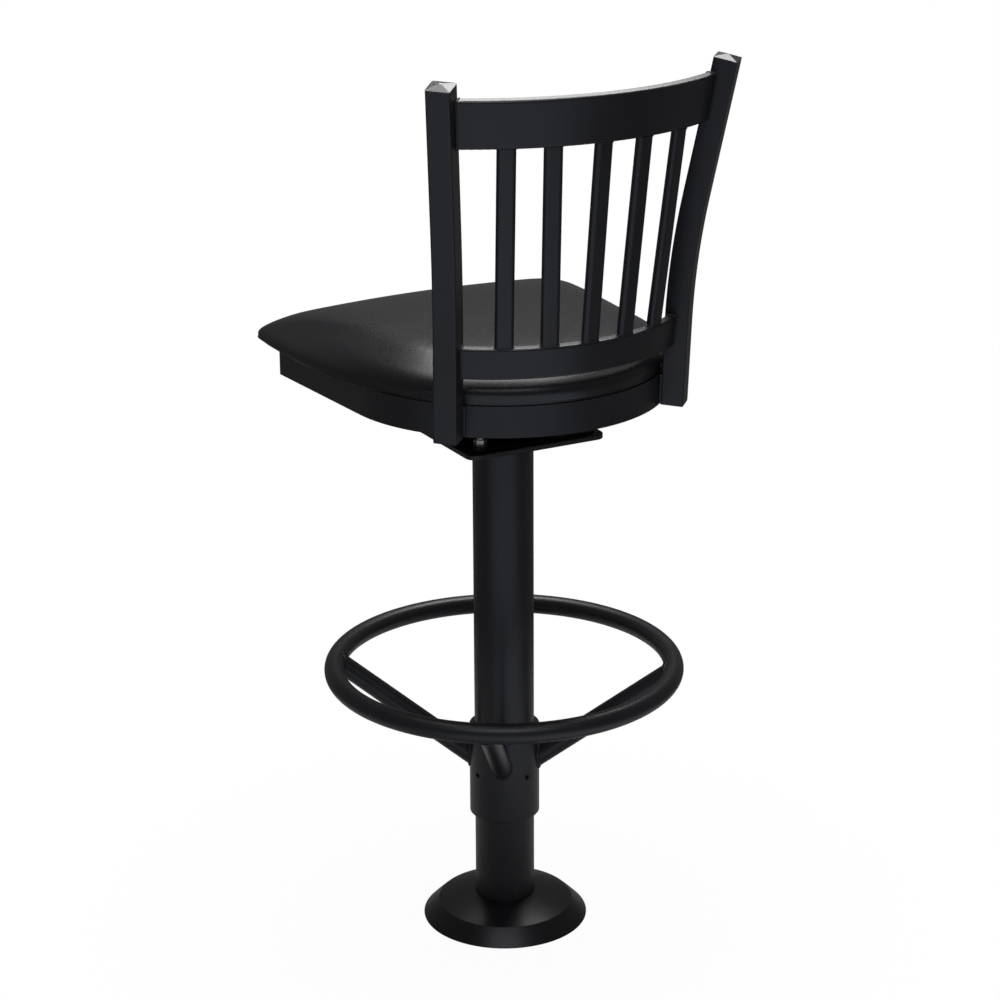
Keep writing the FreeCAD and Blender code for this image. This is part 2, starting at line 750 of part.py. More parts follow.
def pad_outline(rear, half_width, reach, rounding, bow, swing, level):
    # rear arc, two sides that leave it smoothly, rounded front corners and a bowed front
    # the swing is how far the sides leave the arc before the place that makes them straight
    span = math.hypot(half_width, reach)
    angle = math.acos(min(rear / span, 1)) - math.atan2(reach, half_width) + swing
    touch = Vector(rear * math.cos(angle), rear * math.sin(angle), level)
    forwards = Vector(math.sin(angle), -math.cos(angle), 0)
    corner = Vector(half_width, -reach, level)
    bend_to_corner = math.atan2(forwards.cross(corner - touch).z, forwards.dot(corner - touch))
    side_end = Rotation(UP, 2 * math.degrees(bend_to_corner)).multVec(forwards)
    inwards = Vector(-1, 0, 0)
    side_start = corner - side_end * rounding
    front_start = corner + inwards * rounding
    corner_middle = corner + (inwards - side_end) * (rounding * (1 - math.sqrt(0.5)))
    chord = side_start - touch
    bend_of_side = math.atan2(forwards.cross(chord).z, forwards.dot(chord))
    side_middle = (touch + side_start) * 0.5 + UP.cross(chord) * (-math.tan(bend_of_side / 2) / 2)
    front_middle = Vector(0, -reach - bow, level)
    half_angle = (math.pi / 2 + angle) / 2
    quarter = Vector(rear * math.cos(half_angle), rear * math.sin(half_angle), level)
    back = Vector(0, rear, level)

    def flip(point):
        return Vector(-point.x, point.y, point.z)

    def bend(start, middle, end):
        return Part.Arc(start, middle, end).toShape()

    return Part.Wire([
        bend(back, quarter, touch),
        bend(touch, side_middle, side_start),
        bend(side_start, corner_middle, front_start),
        bend(front_start, front_middle, flip(front_start)),
        bend(flip(front_start), flip(corner_middle), flip(side_start)),
        bend(flip(side_start), flip(side_middle), flip(touch)),
        bend(flip(touch), flip(quarter), back),
    ])


def board_solid(grow):
    # the plywood board, or the room for it with a clearance all round
    inset = size("board_inset") - grow
    bottom = size("frame_bottom") + size("band_height") - grow
    rear = size("frame_rear_radius") - inset
    half_width = size("frame_front_half_width") - inset
    reach = size("frame_front_reach") + size("board_front_overhang") - inset
    swing = math.pi / 2 * size("board_swing_share")
    outline = pad_outline(rear, half_width, reach, size("board_corner"), size("board_front_bow"),
                          swing, bottom)
    return Part.Face(outline).extrude(UP * (size("board_thickness") + 2 * grow))


def make_seat_board():
    board = board_solid(0)
    tab_bottom = size("frame_bottom") + size("band_height") - size("board_tab_thickness")
    tip = tab_bottom + size("board_screw_length")
    for place, _ in board_tab_places():
        board = board.cut(rod(size("board_screw_diameter"), size("frame_bottom"), tip, place))
    keep_shape("seat_board", board)


def make_cushion():
    bottom = size("frame_bottom") + size("band_height") + size("pad_clearance")
    sections = []
    for height, rear, width, reach, rounding, bow, swing in PAD_SECTION_SHARES:
        sections.append(pad_outline(
            rear * size("frame_rear_radius"),
            width * size("frame_front_half_width"),
            reach * size("frame_front_reach"),
            rounding * size("frame_rear_radius"),
            bow * size("frame_front_reach"),
            swing * math.pi / 2,
            bottom + height * size("pad_height")))
    body = Part.makeLoft(sections, True, True)
    keep_shape("seat_cushion", body.cut(board_solid(size("pad_clearance"))))


# Back posts: square tubes that lean out and back, bent once

def post_directions(side):
    lower = Vector(side * size("lower_lean_out_share"), size("lower_lean_back_share"), 1)
    upper = Vector(side * size("upper_lean_out_share"), size("upper_lean_back_share"), 1)
    return lower, upper


def post_line(side):
    # foot, virtual corner and top of the post's centre line
    lower, upper = post_directions(side)
    foot = heading(side * size("post_turn"), size("frame_rear_radius") + size("post_side") / 2,
                   size("post_bottom"))
    corner = foot + lower * (size("post_bend_level") - size("post_bottom"))
    top = corner + upper * (size("post_top") - size("post_bend_level"))
    return foot, corner, top


def post_axes(side):
    # outward and sideways axes of the tube at its foot, and the turn that carries them to its top
    lower, upper = post_directions(side)
    lower.normalize()
    upper.normalize()
    out = heading(side * size("post_turn"))
    out = (out - lower * out.dot(lower)).normalize()
    return out, lower.cross(out), Rotation(lower, upper)


def post_shell(side, inset):
    foot, corner, top = post_line(side)
    lower = (corner - foot).normalize()
    upper = (top - corner).normalize()
    bend = lower.getAngle(upper)
    radius = size("post_bend_radius")
    run = radius * math.tan(bend / 2)
    start = corner - lower * run
    end = corner + upper * run
    middle = corner + (upper - lower).normalize() * (radius / math.cos(bend / 2) - radius)
    path = Part.Wire([
        Part.makeLine(foot, start),
        Part.Arc(start, middle, end).toShape(),
        Part.makeLine(end, top),
    ])
    out, across, _ = post_axes(side)
    width = size("post_side") - 2 * inset
    section = rounded_rectangle(foot, out, across, width, width, size("post_corner") - inset)
    return path.makePipeShell([section], True, False)


def make_posts():
    for side, name in ((1, "left_post"), (-1, "right_post")):
        keep_shape(name, post_shell(side, 0).cut(post_shell(side, size("post_wall"))))
        make_post_ends(side, name)


def insert_shape(start, length):
    # hollow square insert that fills a tube end, along +Z or -Z
    width = size("post_side") - 2 * (size("post_wall") + size("insert_clearance"))
    corner = size("post_corner") - size("post_wall")
    across = Vector(1, 0, 0)
    along = Vector(0, 1, 0)
    outline = rounded_rectangle(start, across, along, width, width, corner)
    hollow_width = width - 2 * size("insert_wall")
    hollow = rounded_rectangle(start, across, along, hollow_width, hollow_width, corner)
    return Part.Face(outline).extrude(UP * length).cut(Part.Face(hollow).extrude(UP * length))


def make_post_ends(side, name):
    foot, _, top = post_line(side)
    out, across, turn = post_axes(side)
    foot_turn = Rotation(out, across, out.cross(across), "ZXY")
    top_turn = turn.multiply(foot_turn)
    width = size("post_side")
    corner = size("post_corner")
    flat_x = Vector(1, 0, 0)
    flat_y = Vector(0, 1, 0)
    rim_outline = rounded_rectangle(ORIGIN, flat_x, flat_y, width, width, corner)
    rim = Part.Face(rim_outline).extrude(UP * size("cap_rim"))
    base = rounded_rectangle(UP * size("cap_rim"), flat_x, flat_y, width, width, corner)
    tip_width = size("cap_flat")
    peak = rounded_rectangle(UP * (size("cap_rim") + size("cap_peak")), flat_x, flat_y,
                             tip_width, tip_width, corner * tip_width / width)
    pyramid = Part.makeLoft([base, peak], True, True)
    depth = size("insert_depth")
    cap = rim.fuse(pyramid).fuse(insert_shape(UP * -depth, depth)).removeSplitter()
    keep_shape(name + "_cap", cap, Placement(top, top_turn))
    plug_width = width - 2 * size("insert_clearance")
    plug_base = rounded_rectangle(UP * -size("plug_flange"), flat_x, flat_y, plug_width, plug_width, corner)
    flange = Part.Face(plug_base).extrude(UP * size("plug_flange"))
    plug = flange.fuse(insert_shape(ORIGIN, depth)).removeSplitter()
    keep_shape(name + "_plug", plug, Placement(foot, foot_turn))


# Rails: curved rectangular tubes that lean back, coped to the posts

def rail_values(rail):
    middle = size("frame_rear_radius") + size(rail + "_middle")
    tilt = math.radians(size(rail + "_tilt"))
    return size(rail + "_height"), size(rail + "_top"), size(rail + "_radius"), middle, tilt


def rail_point(rail, inwards, down):
    # radius from the rail's own centre, level and centre of curvature, from the rear top edge
    _, top, radius, middle, tilt = rail_values(rail)
    reach = radius - inwards * math.cos(tilt) - down * math.sin(tilt)
    level = top + inwards * math.sin(tilt) - down * math.cos(tilt)
    return reach, level, middle - radius


def rail_shell(rail, inset, spread=0):
    # the rail's outer form, drawn in by a wall or made deeper from front to back
    height, _, radius, _, tilt = rail_values(rail)
    thickness = size("rail_thickness")
    reach, level, centre_y = rail_point(rail, thickness / 2, height / 2)
    across = Vector(0, math.cos(tilt), -math.sin(tilt))
    along = Vector(0, math.sin(tilt), math.cos(tilt))
    section = rounded_rectangle(Vector(0, centre_y + reach, level), across, along,
                                thickness - 2 * inset + 2 * spread, height - 2 * inset,
                                size("rail_corner") - inset)
    _, corner, top = post_line(1)
    share = (level - corner.z) / (top.z - corner.z)
    post_x = corner.x + (top.x - corner.x) * max(share, 0)
    half_turn = math.degrees(math.asin(post_x / radius))
    centre = Vector(0, centre_y, 0)
    face = Part.Face(section)
    face.rotate(centre, UP, -half_turn)
    return face.revolve(centre, UP, 2 * half_turn)


def rail_stop(rail, side):
    # block that ends the rail at the face of the post that looks along it
    foot, corner, top = post_line(side)
    out, across, turn = post_axes(side)
    low, high = foot, corner
    if rail == "top_rail":
        low, high = corner, top
        out, across = turn.multVec(out), turn.multVec(across)
    towards = across * side
    reach = size("post_side")
    edge = towards * (size("post_side") / 2 + size("rail_end_clearance"))
    corners = [low + edge + out * reach, high + edge + out * reach]
    corners += [high + edge - out * reach, low + edge - out * reach]
    return Part.Face(Part.makePolygon(corners + corners[:1])).extrude(towards * (-2 * reach))


def make_rails():
    for rail in ("top_rail", "lower_rail"):
        tube = rail_shell(rail, 0).cut(rail_shell(rail, size("rail_wall")))
        for side in (1, -1):
            tube = largest(tube.cut(rail_stop(rail, side)))
        keep_shape(rail, tube)


def make_slats():
    rails = [rail_shell("top_rail", 0, size("overrun")), rail_shell("lower_rail", 0, size("overrun"))]
    half_thickness = size("rail_thickness") / 2
    top_reach, top_level, top_centre = rail_point("top_rail", half_thickness, size("top_rail_height"))
    low_reach, low_level, low_centre = rail_point("lower_rail", half_thickness, 0)
    thickness = size("slat_thickness")
    for number, drift_share in enumerate(SLAT_DRIFT_SHARES):
        step = (len(SLAT_DRIFT_SHARES) - 1) / 2 - number
        top_x = step * size("slat_top_spacing") + drift_share * size("slat_drift")
        low_x = step * size("slat_bottom_spacing")
        top = Vector(top_x, top_centre + math.sqrt(top_reach ** 2 - top_x ** 2), top_level)
        low = Vector(low_x, low_centre + math.sqrt(low_reach ** 2 - low_x ** 2), low_level)
        along = (top - low).normalize()
        facing = (math.asin(top_x / top_reach) + math.asin(low_x / low_reach)) / 2
        out = Vector(math.sin(facing), math.cos(facing), 0)
        out = (out - along * out.dot(along)).normalize()
        across = along.cross(out)
        start = low - along * size("overrun")
        run = top + along * size("overrun") - start
        wall = size("slat_wall")
        outline = rounded_rectangle(start, across, out, size("slat_width"), thickness, thickness / 2)
        bore = rounded_rectangle(start, across, out, size("slat_width") - 2 * wall, thickness - 2 * wall,
                                 (thickness - 2 * wall) / 2)
        slat = Part.Face(outline).extrude(run).cut(Part.Face(bore).extrude(run))
        for rail in rails:
            slat = slat.cut(rail)
        keep_shape("back_slat_%d" % (number + 1), largest(slat))


make_floor_flange()
make_column()
make_column_plate()
make_flange_cover()
make_collar()
make_foot_ring()
make_spokes()
make_set_screws()
make_swivel_plates()
make_king_pin()
make_cage_and_balls()
make_swivel_bolts()
make_seat_band()
make_cross_tubes()
make_board_tabs()
make_seat_board()
make_cushion()
make_posts()
make_rails()
make_slats()
doc.recompute()

for made in doc.Objects:
    if "Invalid" in made.State or "Error" in made.State:
        raise RuntimeError("%s did not build" % made.Label)
for node in nodes:
    if node.Shape.isNull() or not node.Shape.isValid():
        raise RuntimeError("%s has no sound solid" % node.Label)

os.makedirs("parts", exist_ok=True)
for node in nodes:
    node.Shape.exportStep(os.path.join("parts", node.Label + ".step"))
    box = node.Shape.BoundBox
    print("%-20s %2d solids %10.0f mm3  z %.1f to %.1f" % (
        node.Label, len(node.Shape.Solids), node.Shape.Volume, box.ZMin, box.ZMax))
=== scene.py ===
import json
import math

import bmesh
import bpy
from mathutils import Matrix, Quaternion, Vector


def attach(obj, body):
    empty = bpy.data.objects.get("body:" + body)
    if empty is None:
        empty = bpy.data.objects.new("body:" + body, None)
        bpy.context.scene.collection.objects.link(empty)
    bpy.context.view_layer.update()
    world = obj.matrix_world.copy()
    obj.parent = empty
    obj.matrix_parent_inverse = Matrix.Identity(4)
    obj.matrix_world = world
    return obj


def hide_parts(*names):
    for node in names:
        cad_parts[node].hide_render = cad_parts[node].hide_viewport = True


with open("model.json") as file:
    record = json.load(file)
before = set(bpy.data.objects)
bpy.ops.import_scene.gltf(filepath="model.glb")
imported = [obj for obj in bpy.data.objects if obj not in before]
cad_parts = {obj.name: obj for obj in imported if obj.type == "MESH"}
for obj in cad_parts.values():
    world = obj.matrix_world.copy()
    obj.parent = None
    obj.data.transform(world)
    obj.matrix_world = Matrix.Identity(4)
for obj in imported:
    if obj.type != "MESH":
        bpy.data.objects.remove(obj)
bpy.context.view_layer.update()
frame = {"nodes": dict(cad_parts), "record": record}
nodes = frame["nodes"]
print("frame loaded:", len(nodes), "nodes")


# Colours and material nodes

def linearFromHex(text):
    # an sRGB hex colour as linear red, green, blue and alpha, by the standard curve
    channels = [int(text[start:start + 2], 16) / 255 for start in (1, 3, 5)]
    return [c / 12.92 if c <= 0.04045 else ((c + 0.055) / 1.055) ** 2.4 for c in channels] + [1.0]


def addNode(tree, kind, inputs=None, **settings):
    # one node with its settings; an input is a value or the socket that feeds it
    node = tree.nodes.new(kind)
    for key, value in settings.items():
        setattr(node, key, value)
    for key, value in (inputs or {}).items():
        if isinstance(value, bpy.types.NodeSocket):
            tree.links.new(value, node.inputs[key])
        else:
            node.inputs[key].default_value = value
    return node


def startMaterial(name):
    # an empty material, its node tree and the place on the piece that patterns read
    material = bpy.data.materials.new(name)
    material.use_nodes = True
    tree = material.node_tree
    tree.nodes.clear()
    return material, tree, addNode(tree, "ShaderNodeTexCoord").outputs["Object"]


# A colour Mix node's sockets share their names with others, so they go by number
mixShare, firstColour, secondColour, mixedColour = 0, 6, 7, 2


# Satin black powder coat on welded steel: cured epoxy polyester powder, which flows into a fine
# orange peel. It gives the eye a deep blue-grey black with broad soft reflections. Its grain is
# drawn coarser than the real one, which is too fine to show.
powderCoat = {
    "colour": "#17181b", "dusty": "#1e1f23", "peelMm": 1.6, "grainMm": 0.45, "cloudMm": 70,
    "peelHeightMm": 0.03, "grainHeightMm": 0.01, "roughLow": 0.34, "roughHigh": 0.42,
    "specular": 0.5,
}


def makePowderCoat(name, values):
    material, tree, place = startMaterial(name)
    peel = addNode(tree, "ShaderNodeTexNoise", {
        "Vector": place, "Scale": 1000 / values["peelMm"], "Detail": 2.0})
    grain = addNode(tree, "ShaderNodeTexNoise", {
        "Vector": place, "Scale": 1000 / values["grainMm"], "Detail": 1.0})
    cloud = addNode(tree, "ShaderNodeTexNoise", {
        "Vector": place, "Scale": 1000 / values["cloudMm"], "Detail": 3.0})
    haze = addNode(tree, "ShaderNodeMapRange", {
        "Value": cloud.outputs["Fac"], "From Min": 0.35, "From Max": 0.75})
    colour = addNode(tree, "ShaderNodeMix", {
        mixShare: haze.outputs["Result"], firstColour: linearFromHex(values["colour"]),
        secondColour: linearFromHex(values["dusty"])}, data_type="RGBA")
    rough = addNode(tree, "ShaderNodeMapRange", {
        "Value": cloud.outputs["Fac"], "To Min": values["roughLow"],
        "To Max": values["roughHigh"]})
    fine = addNode(tree, "ShaderNodeBump", {
        "Height": grain.outputs["Fac"], "Strength": 0.5,
        "Distance": values["grainHeightMm"] / 1000})
    bump = addNode(tree, "ShaderNodeBump", {
        "Height": peel.outputs["Fac"], "Strength": 0.8,
        "Distance": values["peelHeightMm"] / 1000, "Normal": fine.outputs["Normal"]})
    shader = addNode(tree, "ShaderNodeBsdfPrincipled", {
        "Base Color": colour.outputs[mixedColour], "Roughness": rough.outputs["Result"],
        "Normal": bump.outputs["Normal"], "Specular IOR Level": values["specular"], "IOR": 1.5})
    addNode(tree, "ShaderNodeOutputMaterial", {"Surface": shader.outputs[0]})
    return material


blackPowderCoat = makePowderCoat("satinBlackPowderCoat", powderCoat)
# The same powder on the spun cover lies smoother, so its dish shows longer highlights. Its
# colour is painted darker and its reflection weaker than the frame's: painted shade for the
# shadow that the seat casts over the base
coverPowderCoatPaintedShade = makePowderCoat("smoothBlackPowderCoatPaintedShade", dict(
    powderCoat, colour="#0f1012", dusty="#141518", peelMm=2.2, roughLow=0.32, roughHigh=0.38,
    specular=0.38))


# Black upholstery vinyl: a PVC skin on knitted backing, embossed with a pebble leather grain.
# It gives the eye a soft dark sheen that breaks into small pebbles where the light is mirrored.
# Its pores are drawn coarser than real ones, which are too fine to show.
vinyl = {
    # the pebble tops take the lighter colour; the darker one goes into the valleys between them
    # as painted shade
    "colour": "#101113", "pebbleTopColour": "#17181a", "pebbleMm": 2.4, "creaseMm": 4.5, "poreMm": 0.6,
    "creaseTall": 0.35, "warpPebbles": 3, "warpShare": 0.5, "valleyWidth": 0.22,
    "pebbleHeightMm": 0.05, "creaseHeightMm": 0.035, "poreHeightMm": 0.01,
    "roughLow": 0.25, "roughHigh": 0.32, "specular": 0.5,
}


def makeVinyl(name, values):
    material, tree, place = startMaterial(name)
    # a slower noise bends the net of pebbles, so that they aren't all of one shape
    warp = addNode(tree, "ShaderNodeTexNoise", {
        "Vector": place, "Scale": 1000 / (values["warpPebbles"] * values["pebbleMm"]),
        "Detail": 2.0})
    reach = values["warpShare"] * values["pebbleMm"] / 1000
    moved = addNode(tree, "ShaderNodeVectorMath", {
        0: warp.outputs["Color"], 1: (reach, reach, reach)}, operation="MULTIPLY")
    bent = addNode(tree, "ShaderNodeVectorMath", {
        0: place, 1: moved.outputs["Vector"]}, operation="ADD")
    pebble = addNode(tree, "ShaderNodeTexVoronoi", {
        "Vector": bent.outputs["Vector"], "Scale": 1000 / values["pebbleMm"]},
        feature="DISTANCE_TO_EDGE")
    valley = addNode(tree, "ShaderNodeMapRange", {
        "Value": pebble.outputs["Distance"], "From Max": values["valleyWidth"]},
        interpolation_type="SMOOTHSTEP")
    # on the sides the creases stand up, across the roll of the edge
    tall = addNode(tree, "ShaderNodeMapping", {
        "Vector": place, "Scale": (1.0, 1.0, values["creaseTall"])})
    crease = addNode(tree, "ShaderNodeTexNoise", {
        "Vector": tall.outputs["Vector"], "Scale": 1000 / values["creaseMm"], "Detail": 3.0})
    pore = addNode(tree, "ShaderNodeTexNoise", {
        "Vector": place, "Scale": 1000 / values["poreMm"], "Detail": 1.0})
    # painted shade: the valleys between the pebbles are coloured darker than the pebble tops
    colour = addNode(tree, "ShaderNodeMix", {
        mixShare: valley.outputs["Result"], firstColour: linearFromHex(values["colour"]),
        secondColour: linearFromHex(values["pebbleTopColour"])}, data_type="RGBA")
    rough = addNode(tree, "ShaderNodeMapRange", {
        "Value": crease.outputs["Fac"], "To Min": values["roughLow"],
        "To Max": values["roughHigh"]})
    fine = addNode(tree, "ShaderNodeBump", {
        "Height": pore.outputs["Fac"], "Strength": 0.4,
        "Distance": values["poreHeightMm"] / 1000})
    soft = addNode(tree, "ShaderNodeBump", {
        "Height": crease.outputs["Fac"], "Strength": 0.6,
        "Distance": values["creaseHeightMm"] / 1000, "Normal": fine.outputs["Normal"]})
    bump = addNode(tree, "ShaderNodeBump", {
        "Height": valley.outputs["Result"], "Strength": 0.7,
        "Distance": values["pebbleHeightMm"] / 1000, "Normal": soft.outputs["Normal"]})
    shader = addNode(tree, "ShaderNodeBsdfPrincipled", {
        "Base Color": colour.outputs[mixedColour], "Roughness": rough.outputs["Result"],
        "Normal": bump.outputs["Normal"], "Specular IOR Level": values["specular"], "IOR": 1.5})
    addNode(tree, "ShaderNodeOutputMaterial", {"Surface": shader.outputs[0]})
    return material


grainedVinyl = makeVinyl("pebbleGrainBlackVinyl", vinyl)


# Zinc plate on steel fasteners: a thin electroplated skin with clear passivation. It gives the
# eye a bright grey metal with a faint warm patchiness and fine scratches, which are drawn
# coarser than real ones so that they show.
zinc = {
    "colour": "#cfd1d4", "tinted": "#c0bbae", "patchMm": 6, "scratchMm": 0.5,
    "scratchHeightMm": 0.02, "roughLow": 0.26, "roughHigh": 0.42,
}


def makeMetal(name, values):
    material, tree, place = startMaterial(name)
    patch = addNode(tree, "ShaderNodeTexNoise", {
        "Vector": place, "Scale": 1000 / values["patchMm"], "Detail": 3.0})
    scratch = addNode(tree, "ShaderNodeTexNoise", {
        "Vector": place, "Scale": 1000 / values["scratchMm"], "Detail": 2.0})
    tint = addNode(tree, "ShaderNodeMapRange", {
        "Value": patch.outputs["Fac"], "From Min": 0.3, "From Max": 0.7})
    colour = addNode(tree, "ShaderNodeMix", {
        mixShare: tint.outputs["Result"], firstColour: linearFromHex(values["colour"]),
        secondColour: linearFromHex(values["tinted"])}, data_type="RGBA")
    rough = addNode(tree, "ShaderNodeMapRange", {
        "Value": patch.outputs["Fac"], "To Min": values["roughLow"],
        "To Max": values["roughHigh"]})
    bump = addNode(tree, "ShaderNodeBump", {
        "Height": scratch.outputs["Fac"], "Strength": 0.3,
        "Distance": values["scratchHeightMm"] / 1000})
    shader = addNode(tree, "ShaderNodeBsdfPrincipled", {
        "Base Color": colour.outputs[mixedColour], "Roughness": rough.outputs["Result"],
        "Metallic": 1.0, "Normal": bump.outputs["Normal"]})
    addNode(tree, "ShaderNodeOutputMaterial", {"Surface": shader.outputs[0]})
    return material


zincPlate = makeMetal("brightZincPlate", zinc)
# Zinc on pressed sheet with a black passivation, so the swivel reads as dull gunmetal
zincSheet = makeMetal("blackPassivatedZincSheet", dict(
    zinc, colour="#2b2b2d", tinted="#222224", roughLow=0.38, roughHigh=0.5))
# Black oxide on alloy steel: a thin conversion layer kept dark with oil, a soft gunmetal sheen
blackOxide = makeMetal("blackOxideSteel", dict(
    zinc, colour="#3a3b3d", tinted="#2c2c2e", roughLow=0.3, roughHigh=0.4))
# Hardened and ground bearing steel: nearly a mirror, so each ball shows the room
bearingSteel = makeMetal("groundBearingSteel", dict(
    zinc, colour="#c4c6c9", tinted="#bcbec1", roughLow=0.08, roughHigh=0.14))
# Blanked steel strip of the ball cage: a dull even grey
cageSteel = makeMetal("blankedCageSteel", dict(
    zinc, colour="#8d8f92", tinted="#7c7d7f", roughLow=0.35, roughHigh=0.5))


# Sanded birch plywood: it gives the eye pale faces with soft grain and a striped edge
plywood = {
    "face": "#cdb28a", "grain": "#b7966a", "plyLight": "#c9ab80", "plyDark": "#8f6b45",
    "plyMm": 1.7, "grainMm": 7, "grainStretch": 0.08, "grainHeightMm": 0.2, "rough": 0.62,
    "faceUpright": 0.7,
}


def makePlywood(name, values):
    material, tree, place = startMaterial(name)
    long = addNode(tree, "ShaderNodeMapping", {
        "Vector": place, "Scale": (values["grainStretch"], 1.0, 1.0)}).outputs["Vector"]
    grain = addNode(tree, "ShaderNodeTexNoise", {
        "Vector": long, "Scale": 1000 / values["grainMm"], "Detail": 6.0, "Distortion": 0.6})
    band = addNode(tree, "ShaderNodeMapRange", {
        "Value": grain.outputs["Fac"], "From Min": 0.38, "From Max": 0.66})
    face = addNode(tree, "ShaderNodeMix", {
        mixShare: band.outputs["Result"], firstColour: linearFromHex(values["face"]),
        secondColour: linearFromHex(values["grain"])}, data_type="RGBA")
    # the plies show as stripes one above the other, where the surface is an edge of the board
    height = addNode(tree, "ShaderNodeSeparateXYZ", {"Vector": place}).outputs["Z"]
    count = addNode(tree, "ShaderNodeMath", {
        0: height, 1: 1000 / values["plyMm"]}, operation="MULTIPLY").outputs[0]
    wave = addNode(tree, "ShaderNodeMath", {0: count, 1: 1.0}, operation="PINGPONG").outputs[0]
    stripe = addNode(tree, "ShaderNodeMapRange", {
        "Value": wave, "From Min": 0.4, "From Max": 0.6})
    layers = addNode(tree, "ShaderNodeMix", {
        mixShare: stripe.outputs["Result"], firstColour: linearFromHex(values["plyLight"]),
        secondColour: linearFromHex(values["plyDark"])}, data_type="RGBA")
    normal = addNode(tree, "ShaderNodeNewGeometry").outputs["Normal"]
    facing = addNode(tree, "ShaderNodeSeparateXYZ", {"Vector": normal})
    flat = addNode(tree, "ShaderNodeMath", {
        0: facing.outputs["Z"]}, operation="ABSOLUTE").outputs[0]
    isFace = addNode(tree, "ShaderNodeMath", {
        0: flat, 1: values["faceUpright"]}, operation="GREATER_THAN").outputs[0]
    colour = addNode(tree, "ShaderNodeMix", {
        mixShare: isFace, firstColour: layers.outputs[mixedColour],
        secondColour: face.outputs[mixedColour]}, data_type="RGBA")
    bump = addNode(tree, "ShaderNodeBump", {
        "Height": grain.outputs["Fac"], "Strength": 0.4,
        "Distance": values["grainHeightMm"] / 1000})
    shader = addNode(tree, "ShaderNodeBsdfPrincipled", {
        "Base Color": colour.outputs[mixedColour], "Roughness": values["rough"],
        "Normal": bump.outputs["Normal"], "IOR": 1.5})
    addNode(tree, "ShaderNodeOutputMaterial", {"Surface": shader.outputs[0]})
    return material


birchPlywood = makePlywood("sandedBirchPlywood", plywood)


# Black plastic of the post caps, from a polished mould: it catches a clean highlight. The faint
# texture is drawn coarser than the real one so that it shows.
capPlastic = {
    "colour": "#232427", "shade": "#1b1c1e", "textureMm": 0.8, "heightMm": 0.01,
    "roughLow": 0.24, "roughHigh": 0.32,
}


def makePlastic(name, values):
    material, tree, place = startMaterial(name)
    texture = addNode(tree, "ShaderNodeTexNoise", {
        "Vector": place, "Scale": 1000 / values["textureMm"], "Detail": 2.0})
    shade = addNode(tree, "ShaderNodeMapRange", {
        "Value": texture.outputs["Fac"], "From Min": 0.3, "From Max": 0.7})
    colour = addNode(tree, "ShaderNodeMix", {
        mixShare: shade.outputs["Result"], firstColour: linearFromHex(values["colour"]),
        secondColour: linearFromHex(values["shade"])}, data_type="RGBA")
    rough = addNode(tree, "ShaderNodeMapRange", {
        "Value": texture.outputs["Fac"], "To Min": values["roughLow"],
        "To Max": values["roughHigh"]})
    bump = addNode(tree, "ShaderNodeBump", {
        "Height": texture.outputs["Fac"], "Strength": 0.5,
        "Distance": values["heightMm"] / 1000})
    shader = addNode(tree, "ShaderNodeBsdfPrincipled", {
        "Base Color": colour.outputs[mixedColour], "Roughness": rough.outputs["Result"],
        "Normal": bump.outputs["Normal"], "IOR": 1.5})
    addNode(tree, "ShaderNodeOutputMaterial", {"Surface": shader.outputs[0]})
    return material


glossCapPlastic = makePlastic("polishedBlackPlastic", capPlastic)
# The plugs' spark-eroded texture keeps them matt
plugPlastic = makePlastic("texturedBlackPlastic", dict(
    capPlastic, heightMm=0.04, roughLow=0.5, roughHigh=0.6))

finishes = {
    "powder_coated_steel": blackPowderCoat, "powder_coated_cover": coverPowderCoatPaintedShade,
    "zinc_plated_sheet": zincSheet, "zinc_plated_steel": zincPlate,
    "black_oxide_steel": blackOxide, "cage_steel": cageSteel, "bearing_balls": bearingSteel,
    "plywood": birchPlywood, "grained_vinyl": grainedVinyl, "cap_plastic": glossCapPlastic,
    "plug_plastic": plugPlastic,
}
for part in frame["record"]["subparts"]:
    node = nodes[part["node"]]
    node.data.materials.clear()
    node.data.materials.append(finishes[part["material_slot"]])
print("finishes laid on the frame")


# Helpers for new pieces
mergeDistance = 1e-6  # metres within which two points become one
searchRounds = 40  # halvings in a search for the point where two skins meet


def addObject(name, data):
    piece = bpy.data.objects.new(name, data)
    bpy.context.scene.collection.objects.link(piece)
    return piece


def makePiece(name, mesh, body, material):
    piece = addObject(name, mesh)
    mesh.materials.clear()
    mesh.materials.append(material)
    mesh.shade_smooth()
    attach(piece, body)
    return piece


def meshOf(piece):
    # the piece's mesh with its modifiers applied
    graph = bpy.context.evaluated_depsgraph_get()
    return bpy.data.meshes.new_from_object(piece.evaluated_get(graph))


def turned(turn, reach, level):
    # a point that far from the column's axis, counted in degrees from +Y towards +X
    angle = math.radians(turn)
    return Vector((reach * math.sin(angle), reach * math.cos(angle), level))


